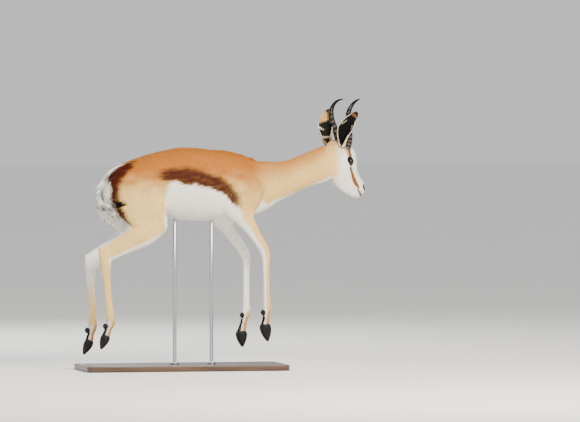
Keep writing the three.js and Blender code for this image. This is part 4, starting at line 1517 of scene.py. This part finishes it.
@dataclass(frozen=True)
class Stand:
    """A plain display stand: a board with rounded corners, and two rods with turned collars."""

    length: float = 800
    width: float = 320
    height: float = 22
    corner: float = 24
    bevel: float = 3
    rod: float = 7
    collar: float = 17
    collar_height: float = 8

    def board(self) -> Shell:
        """The board: a rounded rectangle's outline, carried up the edge and in over the top and bottom."""
        turn = 2 * math.pi * (np.arange(96) + 0.5) / 96
        quarter = np.floor(turn / (math.pi / 2))
        sx, sy = np.where((quarter == 0) | (quarter == 3), 1, -1), np.where(quarter < 2, 1, -1)
        edge = [(0.0, 0.0, 0.0)]
        edge += [(0.5, 0.0, 0.0), (1.0, 6.0, 0.0), (1.0, 0.6, 0.0), (1.0, 0.0, 0.6),
                 (1.0, 0.0, self.height - self.bevel)]
        edge += [
            (1.0, self.bevel * (1 - math.cos(a)), self.height - self.bevel * (1 - math.sin(a)))
            for a in np.linspace(0.2, math.pi / 2, 6)
        ]
        edge += [(1.0, self.bevel + 4, self.height), (0.5, 0.0, self.height), (0.0, 0.0, self.height)]
        rows = []
        for share, inset, height in edge:
            half_x, half_y = self.length / 2 - inset, self.width / 2 - inset
            corner = max(self.corner - inset, 1)
            x = sx * (half_x - corner) + corner * np.cos(turn)
            y = sy * (half_y - corner) + corner * np.sin(turn)
            rows.append(np.stack([x * share, y * share, np.full(len(turn), height)], axis=1))
        return closed_grid(np.stack(rows) * MM)

    def turned_rod(self, x: float, top: float) -> Shell:
        """A rod with its collar, as a profile of radius and height turned about the upright line."""
        foot = self.height + 0.45
        low = foot + self.collar_height
        profile = np.array([
            (0, foot), (self.collar - 0.5, foot), (self.collar, foot + 0.5), (self.collar, low - 2.2),
            (self.collar - 0.7, low - 0.7), (self.collar - 2.2, low), (self.rod + 1.2, low),
            (self.rod + 0.3, low + 0.3),
            (self.rod, low + 1.2), (self.rod, (low + top) / 2), (self.rod, top - 0.5),
            (self.rod - 0.5, top), (0, top),
        ])
        turn = 2 * math.pi * np.arange(56) / 56
        grid = np.stack([
            x + profile[:, :1] * np.cos(turn), profile[:, :1] * np.sin(turn),
            np.broadcast_to(profile[:, 1:], (len(profile), len(turn))),
        ], axis=-1)
        return closed_grid(grid * MM)


# Finishes


def linear(colour: str) -> tuple[float, float, float, float]:
    """An sRGB hex colour as linear red, green, blue and a full alpha."""
    channels = (int(colour[k:k + 2], 16) / 255 for k in (1, 3, 5))
    return (*(c / 12.92 if c <= 0.04045 else ((c + 0.055) / 1.055) ** 2.4 for c in channels), 1.0)


def add_node(tree: bpy.types.NodeTree, kind: str, inputs: dict | None = None,
             **settings: object) -> bpy.types.Node:
    """Adds a node with its settings, and sets or links its inputs."""
    node = tree.nodes.new(kind)
    for name, value in settings.items():
        setattr(node, name, value)
    for key, value in (inputs or {}).items():
        if isinstance(value, bpy.types.NodeSocket):
            tree.links.new(value, node.inputs[key])
        else:
            node.inputs[key].default_value = value
    return node


def new_material(name: str) -> tuple[bpy.types.Material, bpy.types.NodeTree]:
    """An empty material with nodes."""
    material = bpy.data.materials.new(name)
    material.use_nodes = True
    material.node_tree.nodes.clear()
    return material, material.node_tree


def surfaced(tree: bpy.types.NodeTree, inputs: dict) -> None:
    """Ends a material in a principled surface."""
    shader = add_node(tree, "ShaderNodeBsdfPrincipled", inputs)
    add_node(tree, "ShaderNodeOutputMaterial", {"Surface": shader.outputs[0]})


@dataclass(frozen=True)
class SpringbokHair:
    """Short summer hair, smooth and lying flat: tan, cream, rust and white, with a soft gloss."""

    tan: str = "#B06C28"
    cream: str = "#EDCA80"
    rust: str = "#431503"
    white: str = "#FBF8F1"
    black: str = "#060404"
    roughness: float = 0.6

    def material(self, name: str, tufted: bool) -> bpy.types.Material:
        """The finish of the skin, or of the tufts, which differ in tone and are paler at their tips."""
        material, tree = new_material(name)
        marks = add_node(tree, "ShaderNodeAttribute", attribute_name="marks")
        part = add_node(tree, "ShaderNodeSeparateColor", {"Color": marks.outputs["Color"]})
        place = add_node(tree, "ShaderNodeTexCoord")
        # Clumps of hair a few millimetres wide differ a little in tone
        clumps = add_node(tree, "ShaderNodeTexNoise", {
            "Vector": place.outputs["Object"], "Scale": 160.0, "Detail": 3.0, "Roughness": 0.6})
        drift = add_node(tree, "ShaderNodeTexNoise", {
            "Vector": place.outputs["Object"], "Scale": 14.0, "Detail": 2.0, "Roughness": 0.5})
        colour = linear(self.tan)
        for share, over in ((part.outputs["Red"], self.cream), (part.outputs["Green"], self.rust),
                            (part.outputs["Blue"], self.white), (marks.outputs["Alpha"], self.black)):
            colour = add_node(tree, "ShaderNodeMix", {0: share, 6: colour, 7: linear(over)},
                              data_type="RGBA").outputs[2]
        shade = add_node(tree, "ShaderNodeMapRange", {
            "Value": clumps.outputs["Fac"], "From Min": 0.3, "From Max": 0.7, "To Min": 0.88, "To Max": 1.08})
        broad = add_node(tree, "ShaderNodeMapRange", {
            "Value": drift.outputs["Fac"], "From Min": 0.3, "From Max": 0.7, "To Min": 0.95, "To Max": 1.04})
        value = add_node(tree, "ShaderNodeMath", {0: shade.outputs[0], 1: broad.outputs[0]},
                         operation="MULTIPLY")
        if tufted:
            tone = add_node(tree, "ShaderNodeAttribute", attribute_name="tone")
            tip = add_node(tree, "ShaderNodeAttribute", attribute_name="tip")
            each = add_node(tree, "ShaderNodeMath", {0: tone.outputs["Fac"], 1: 0.045, 2: 1.0},
                            operation="MULTIPLY_ADD")
            along = add_node(tree, "ShaderNodeMath", {0: tip.outputs["Fac"], 1: 0.16, 2: 0.88},
                             operation="MULTIPLY_ADD")
            both = add_node(tree, "ShaderNodeMath", {0: each.outputs[0], 1: along.outputs[0]},
                            operation="MULTIPLY")
            value = add_node(tree, "ShaderNodeMath", {0: value.outputs[0], 1: both.outputs[0]},
                             operation="MULTIPLY")
        level = add_node(tree, "ShaderNodeCombineColor", {
            "Red": value.outputs[0], "Green": value.outputs[0], "Blue": value.outputs[0]})
        colour = add_node(tree, "ShaderNodeMix", {0: 1.0, 6: colour, 7: level.outputs[0]},
                          data_type="RGBA", blend_type="MULTIPLY").outputs[2]
        # Single hairs are too fine to show, so the bump draws strands about a millimetre wide
        strands = add_node(tree, "ShaderNodeTexNoise", {
            "Vector": place.outputs["Object"], "Scale": 520.0, "Detail": 2.0, "Roughness": 0.7})
        bump = add_node(tree, "ShaderNodeBump", {
            "Strength": 0.25, "Distance": 0.0006, "Height": strands.outputs["Fac"]})
        surfaced(tree, {
            "Base Color": colour, "Roughness": self.roughness, "Normal": bump.outputs[0],
            "Specular IOR Level": 0.12,
        })
        return material


@dataclass(frozen=True)
class HornKeratin:
    """Horn: black keratin, matt below and polished at the tip, with a painted highlight of grey on the crests
    of its rings.
    """

    black: str = "#080706"
    grey: str = "#8A8278"

    def material(self) -> bpy.types.Material:
        """The finish, with the crests of the rings painted grey as a highlight."""
        material, tree = new_material("horn_keratin")
        place = add_node(tree, "ShaderNodeTexCoord")
        t = add_node(tree, "ShaderNodeAttribute", attribute_name="t")
        ring = add_node(tree, "ShaderNodeAttribute", attribute_name="ring")
        grain = add_node(tree, "ShaderNodeTexNoise", {
            "Vector": place.outputs["Object"], "Scale": 240.0, "Detail": 5.0, "Roughness": 0.65})
        low = add_node(tree, "ShaderNodeMapRange",
                       {"Value": t.outputs["Fac"], "From Min": 0.3, "From Max": 0.66,
                                                    "To Min": 1.0, "To Max": 0.0})
        # Painted highlight: the crests of the lower rings turn grey, as if they caught the light
        crest = add_node(tree, "ShaderNodeMapRange",
                         {"Value": ring.outputs["Fac"], "From Min": 0.1, "From Max": 0.6,
                                                      "To Min": 0.0, "To Max": 0.6})
        wear_and_highlight = add_node(tree, "ShaderNodeMath", {0: low.outputs[0], 1: crest.outputs[0]},
                        operation="MULTIPLY")
        wear_and_highlight = add_node(tree, "ShaderNodeMath", {0: wear_and_highlight.outputs[0], 1: grain.outputs["Fac"]},
                        operation="MULTIPLY")
        colour = add_node(tree, "ShaderNodeMix",
                          {0: wear_and_highlight.outputs[0], 6: linear(self.black), 7: linear(self.grey)},
                          data_type="RGBA").outputs[2]
        rough = add_node(tree, "ShaderNodeMapRange",
                         {"Value": t.outputs["Fac"], "From Min": 0.45, "From Max": 0.75,
                                                      "To Min": 0.52, "To Max": 0.2})
        bump = add_node(tree, "ShaderNodeBump",
                        {"Strength": 0.4, "Distance": 0.0005, "Height": grain.outputs["Fac"]})
        surfaced(tree, {"Base Color": colour, "Roughness": rough.outputs[0], "Normal": bump.outputs[0],
                        "Specular IOR Level": 0.25})
        return material


@dataclass(frozen=True)
class HoofKeratin:
    """Hoof: black horn with fine upright grain, scuffed towards the ground."""

    black: str = "#050404"
    scuffed: str = "#33291F"

    def material(self) -> bpy.types.Material:
        """The finish."""
        material, tree = new_material("hoof_keratin")
        place = add_node(tree, "ShaderNodeTexCoord")
        stretch = add_node(tree, "ShaderNodeMapping",
                           {"Vector": place.outputs["Object"], "Scale": (1.0, 1.0, 0.12)})
        grain = add_node(tree, "ShaderNodeTexNoise", {
            "Vector": stretch.outputs[0], "Scale": 900.0, "Detail": 4.0, "Roughness": 0.6})
        t = add_node(tree, "ShaderNodeAttribute", attribute_name="t")
        low = add_node(tree, "ShaderNodeMapRange",
                       {"Value": t.outputs["Fac"], "From Min": 0.45, "From Max": 1.0,
                                                    "To Min": 0.05, "To Max": 0.7})
        wear_and_highlight = add_node(tree, "ShaderNodeMath", {0: low.outputs[0], 1: grain.outputs["Fac"]},
                        operation="MULTIPLY")
        colour = add_node(tree, "ShaderNodeMix",
                          {0: wear_and_highlight.outputs[0], 6: linear(self.black), 7: linear(self.scuffed)},
                          data_type="RGBA").outputs[2]
        bump = add_node(tree, "ShaderNodeBump",
                        {"Strength": 0.35, "Distance": 0.0004, "Height": grain.outputs["Fac"]})
        surfaced(tree, {"Base Color": colour, "Roughness": 0.45, "Normal": bump.outputs[0],
                        "Specular IOR Level": 0.25})
        return material


@dataclass(frozen=True)
class WetEye:
    """A living eye's look: a near black brown iris and a long level pupil under a clear wet coat."""

    iris: str = "#160A05"
    pupil: str = "#050303"

    def material(self) -> bpy.types.Material:
        """The finish."""
        material, tree = new_material("wet_eye")
        flat = add_node(tree, "ShaderNodeAttribute", attribute_name="flat")
        tall = add_node(tree, "ShaderNodeAttribute", attribute_name="tall")
        wide = add_node(tree, "ShaderNodeMath", {0: flat.outputs["Fac"], 1: 2.0}, operation="MULTIPLY")
        high = add_node(tree, "ShaderNodeMath", {0: tall.outputs["Fac"], 1: 3.6}, operation="MULTIPLY")
        square = add_node(tree, "ShaderNodeMath", {0: wide.outputs[0], 1: 2.0}, operation="POWER")
        upright = add_node(tree, "ShaderNodeMath", {0: high.outputs[0], 1: 2.0}, operation="POWER")
        total = add_node(tree, "ShaderNodeMath", {0: square.outputs[0], 1: upright.outputs[0]},
                         operation="ADD")
        edge = add_node(tree, "ShaderNodeMapRange",
                        {"Value": total.outputs[0], "From Min": 0.75, "From Max": 1.2})
        colour = add_node(tree, "ShaderNodeMix",
                          {0: edge.outputs[0], 6: linear(self.pupil), 7: linear(self.iris)},
                          data_type="RGBA").outputs[2]
        surfaced(tree, {"Base Color": colour, "Roughness": 0.2, "Specular IOR Level": 0.1, "Coat Weight": 0.7,
                        "Coat Roughness": 0.03, "Coat IOR": 1.36})
        return material


@dataclass(frozen=True)
class StainedWalnut:
    """Walnut board: planed, stained dark and finished in satin lacquer, so the grain shows without gloss."""

    light: str = "#5E4431"
    dark: str = "#36251A"

    def material(self) -> bpy.types.Material:
        """The finish: grain lines about 4 mm apart along the board, bent by slow waves."""
        material, tree = new_material("stained_walnut")
        place = add_node(tree, "ShaderNodeTexCoord")
        stretch = add_node(tree, "ShaderNodeMapping",
                           {"Vector": place.outputs["Object"], "Scale": (0.06, 1.0, 1.0)})
        waves = add_node(tree, "ShaderNodeTexNoise", {
            "Vector": stretch.outputs[0], "Scale": 42.0, "Detail": 6.0, "Roughness": 0.62, "Distortion": 0.6})
        pores = add_node(tree, "ShaderNodeTexNoise", {
            "Vector": stretch.outputs[0], "Scale": 520.0, "Detail": 2.0, "Roughness": 0.5})
        tone = add_node(tree, "ShaderNodeMapRange",
                        {"Value": waves.outputs["Fac"], "From Min": 0.32, "From Max": 0.68})
        colour = add_node(tree, "ShaderNodeMix",
                          {0: tone.outputs[0], 6: linear(self.dark), 7: linear(self.light)},
                          data_type="RGBA").outputs[2]
        pore = add_node(tree, "ShaderNodeMapRange",
                        {"Value": pores.outputs["Fac"], "From Min": 0.55, "From Max": 0.75,
                                                     "To Min": 0.0, "To Max": 0.5})
        colour = add_node(tree, "ShaderNodeMix", {0: pore.outputs[0], 6: colour, 7: linear(self.dark)},
                          data_type="RGBA").outputs[2]
        bump = add_node(tree, "ShaderNodeBump",
                        {"Strength": 0.2, "Distance": 0.0003, "Height": pores.outputs["Fac"]})
        surfaced(tree, {"Base Color": colour, "Roughness": 0.38, "Normal": bump.outputs[0],
                        "Coat Weight": 0.25,
                        "Coat Roughness": 0.25})
        return material


@dataclass(frozen=True)
class BrushedSteel:
    """Stainless steel rod, turned and brushed round, so its shine is drawn out along the rod."""

    steel: str = "#B9BBBD"

    def material(self) -> bpy.types.Material:
        """The finish: fine rings from the brush, half a millimetre apart."""
        material, tree = new_material("brushed_steel")
        place = add_node(tree, "ShaderNodeTexCoord")
        squeeze = add_node(tree, "ShaderNodeMapping",
                           {"Vector": place.outputs["Object"], "Scale": (0.05, 0.05, 1.0)})
        rings = add_node(tree, "ShaderNodeTexNoise", {
            "Vector": squeeze.outputs[0], "Scale": 1800.0, "Detail": 2.0, "Roughness": 0.5})
        rough = add_node(tree, "ShaderNodeMapRange",
                         {"Value": rings.outputs["Fac"], "To Min": 0.24, "To Max": 0.4})
        bump = add_node(tree, "ShaderNodeBump",
                        {"Strength": 0.1, "Distance": 0.0001, "Height": rings.outputs["Fac"]})
        surfaced(tree, {"Base Color": linear(self.steel), "Metallic": 1.0, "Roughness": rough.outputs[0],
                        "Normal": bump.outputs[0]})
        return material


@dataclass(frozen=True)
class PaleFloor:
    """A plain pale studio floor of smooth painted board."""

    colour: str = "#F6F5F2"

    def material(self) -> bpy.types.Material:
        """The finish, with a very slight change of tone."""
        material, tree = new_material("painted_floor")
        place = add_node(tree, "ShaderNodeTexCoord")
        drift = add_node(tree, "ShaderNodeTexNoise",
                         {"Vector": place.outputs["Object"], "Scale": 1.5, "Detail": 3.0})
        tone = add_node(tree, "ShaderNodeMapRange",
                        {"Value": drift.outputs["Fac"], "To Min": 0.97, "To Max": 1.03})
        level = add_node(tree, "ShaderNodeCombineColor", {
            "Red": tone.outputs[0], "Green": tone.outputs[0], "Blue": tone.outputs[0]})
        colour = add_node(tree, "ShaderNodeMix", {0: 1.0, 6: linear(self.colour), 7: level.outputs[0]},
                          data_type="RGBA", blend_type="MULTIPLY").outputs[2]
        surfaced(tree, {"Base Color": colour, "Roughness": 0.8})
        return material


# The studio


@dataclass(frozen=True)
class Studio:
    """Pale floor, soft lights, and the camera at the photograph's viewing angle."""

    azimuth: float = -12
    elevation: float = 1.5
    distance: float = 27
    aim: Point = (0.4306, 0.0, 0.6158)
    frame_width: float = 2.262

    def camera(self) -> None:
        """A long lens far off, as the photograph's, with the same share of the frame for the animal."""
        a, e = math.radians(self.azimuth), math.radians(self.elevation)
        away = Vector((math.sin(a) * math.cos(e), -math.cos(a) * math.cos(e), math.sin(e)))
        data = bpy.data.cameras.new("camera")
        data.sensor_width = 36
        data.lens = data.sensor_width * self.distance / self.frame_width
        data.clip_end = 200
        camera = bpy.data.objects.new("camera", data)
        camera.location = Vector(self.aim) + away * self.distance
        camera.rotation_euler = away.to_track_quat("Z", "Y").to_euler()
        bpy.context.scene.collection.objects.link(camera)
        bpy.context.scene.camera = camera

    def light(self, name: str, place: Point, size: float, power: float, colour: str) -> None:
        """A square soft light that faces the animal."""
        data = bpy.data.lights.new(name, "AREA")
        data.size, data.energy, data.color = size, power, linear(colour)[:3]
        lamp = bpy.data.objects.new(name, data)
        lamp.location = place
        lamp.rotation_euler = (Vector(place) - Vector((0.2, 0, 0.6))).to_track_quat("Z", "Y").to_euler()
        bpy.context.scene.collection.objects.link(lamp)

    def build(self) -> None:
        """Floor, lights, sky and camera."""
        size = 40.0
        floor = Shell(
            np.array([(-size, -size, 0), (size, -size, 0), (size, size, 0), (-size, size, 0)], float),
            np.array([(0, 1, 2), (0, 2, 3)]),
        )
        piece = write_mesh("floor", floor)
        piece.data.materials.append(PaleFloor().material())
        self.light("key", (1.2, -3.4, 2.9), 1.4, 340, "#FFF3E2")
        self.light("fill", (-2.8, -2.2, 1.6), 2.6, 30, "#EEF3FF")
        self.light("rim", (-0.6, 3.2, 2.6), 2.4, 110, "#FFFFFF")
        world = bpy.data.worlds.new("studio")
        world.use_nodes = True
        world.node_tree.nodes["Background"].inputs[0].default_value = linear("#F4F5F6")
        world.node_tree.nodes["Background"].inputs[1].default_value = 0.78
        bpy.context.scene.world = world
        self.camera()


# The model


@dataclass
class Springbok:
    """The whole animal on its stand, built piece by piece."""

    trunk: Trunk = Trunk()
    head: Head = Head()
    tail: Tail = Tail()
    stand: Stand = Stand()
    fore: tuple[ForeLeg, ...] = (
        ForeLeg(Flank.RIGHT, ((222, -56, 618), (323, -51, 456), (329, -47, 236), (322, -46, 167),
                              (332, -46, 110)), 0),
        ForeLeg(Flank.LEFT, ((158, 56, 608), (268, 52, 436), (265, 47, 222), (246, 46, 138),
                             (250, 46, 86)), -44),
    )
    hind: tuple[HindLeg, ...] = (
        HindLeg(Flank.RIGHT, ((-128, -60, 555), (-318, -62, 449), (-291, -58, 188), (-312, -58, 131),
                              (-330, -58, 86)),
                0, (62, 100, 113, 106, 82, 44, 30, 26)),
        HindLeg(Flank.LEFT, ((-150, 60, 540), (-351, 62, 418), (-341, 58, 168), (-356, 58, 107),
                             (-377, 58, 61)),
                -40, (62, 100, 114, 116, 103, 76, 52, 34)),
    )
    ears: tuple[Ear, ...] = (
        Ear(Flank.RIGHT, ((0, 0, 0), (2, -22, 51), (18, -40, 88), (48, -60, 131))),
        # The left ear's root is not white but painted with shade
        Ear(Flank.LEFT, ((0, 0, 0), (-7, 14, 51), (-5, 28, 98), (12, 40, 141)), tan_from=0.66,
            root_white=0.0, streaks=(
            ((0.5, 0.9, 0.02), (0.46, 0.5, 0.018), (0.42, 0.1, 0.006)),
            ((0.2, -0.8, 0.008), (0.23, 0.6, 0.014)))),
    )

    def anatomy(self) -> Anatomy:
        """The forms of flesh, with the way that the hair runs on each."""
        forms = [
            Form(Region.TRUNK, None, self.trunk.loft, -1, (0, 0, -0.25), 2.6, 150, 96),
            Form(Region.HEAD, None, self.head.loft, -1, (0, 0, 0), 0.8, 90, 72),
        ]
        for leg in self.fore:
            forms.append(Form(Region.SHOULDER, leg.flank, leg.upper, 1, (-0.5, 0, 0), 2.4, 60, 48))
            forms.append(Form(Region.FORELEG, leg.flank, leg.lower, 1, (-0.1, 0, 0), 1.3, 110, 36))
        for leg in self.hind:
            forms.append(Form(Region.HAUNCH, leg.flank, leg.upper, 1, (-0.55, 0, 0), 2.4, 60, 56))
            forms.append(Form(Region.GASKIN, leg.flank, leg.gaskin, 1, (0, 0, -0.3), 1.8, 60, 40))
            forms.append(Form(Region.HINDLEG, leg.flank, leg.lower, 1, (-0.1, 0, 0), 1.3, 110, 36))
        return Anatomy(forms)

    def placed(self, name: str, shell: Shell, material: bpy.types.Material, slot: str,
               nodes: Sequence[str]) -> None:
        """Puts a piece into the scene, dressed, riding on the body and standing for its CAD nodes."""
        piece = write_mesh(name, shell)
        piece.data.materials.append(material)
        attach(piece, BODY)
        if nodes:
            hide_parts(*nodes)
        log.info("%s: %d triangles", name, len(shell.tris))

    def build_hide(self) -> None:
        """The skin with its coat."""
        hide = Hide(self.anatomy(), self.head, Markings(), self.hind, self.ears, self.tail)
        skin = hide.build()
        flesh = ["torso", "neck", "tail", "head"]
        for flank in Flank:
            word = flank.word
            flesh += [f"ear_{word}", f"foreleg_{word}_shoulder", f"foreleg_{word}_cannon",
                      f"hindleg_{word}_thigh", f"hindleg_{word}_cannon"]
        bare = Shell(skin.points, skin.tris, {"marks": skin.marks["marks"]})
        finish = SpringbokHair()
        self.placed("skin", bare, finish.material("springbok_skin", False), "coat", flesh)
        coat = finish.material("springbok_hair", True)
        for name, shell in Coat(skin).build() + LongHair(skin).build():
            slot = {"coat_head": "face", "hair_ears": "face", "hair_tail": "tail_hair"}.get(name, "coat")
            self.placed(name, shell, coat, slot, [])

    def build_hard_parts(self) -> None:
        """Eyes, horns and hooves."""
        eye, horn, hoof = WetEye().material(), HornKeratin().material(), HoofKeratin().material()
        for flank in Flank:
            self.placed(f"{flank.word}_eyeball", Eye(self.head, flank).build(), eye, "eye",
                        [f"eye_{flank.word}"])
            shell = Horn(self.head.frame, flank).build()
            self.placed(f"{flank.word}_horn", shell, horn, "horn", [f"horn_{flank.word}"])
        for kind, legs, depth, behind in (("foreleg", self.fore, 1.06, 15), ("hindleg", self.hind, 0.84, 22)):
            for leg in legs:
                foot, word = Foot(leg.joints, depth, behind), leg.flank.word
                claws = [(which, leg.flank.value * sign) for which, sign in (("outer", 1), ("inner", -1))]
                for which, inner in claws:
                    name = f"{kind}_{word}_{{}}_{which}"
                    self.placed(f"{kind}_{word}_claw_{which}", foot.build_claw(inner), hoof, "hoof",
                                [name.format("hoof")])
                    self.placed(f"{kind}_{word}_spur_{which}", foot.build_dewclaw(inner), hoof, "hoof",
                                [name.format("dewclaw")])

    def build_stand(self) -> None:
        """The board and the two rods, which end in the belly."""
        self.placed("board", self.stand.board(), StainedWalnut().material(), "stand_wood", ["stand_base"])
        steel = BrushedSteel().material()
        for which in ("front", "rear"):
            low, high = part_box(f"stand_rod_{which}")
            middle = (low[0] + high[0]) / 2 / MM
            self.placed(f"{which}_rod", self.stand.turned_rod(middle, high[2] / MM + 1.5), steel,
                        "stand_steel",
                        [f"stand_rod_{which}"])

    def build(self) -> None:
        """Everything."""
        self.build_hide()
        self.build_hard_parts()
        self.build_stand()


def main() -> None:
    """Builds the model and the studio."""
    logging.basicConfig(level=logging.INFO, format="%(message)s")
    Springbok().build()
    Studio().build()


if __name__ == "__main__":
    main()
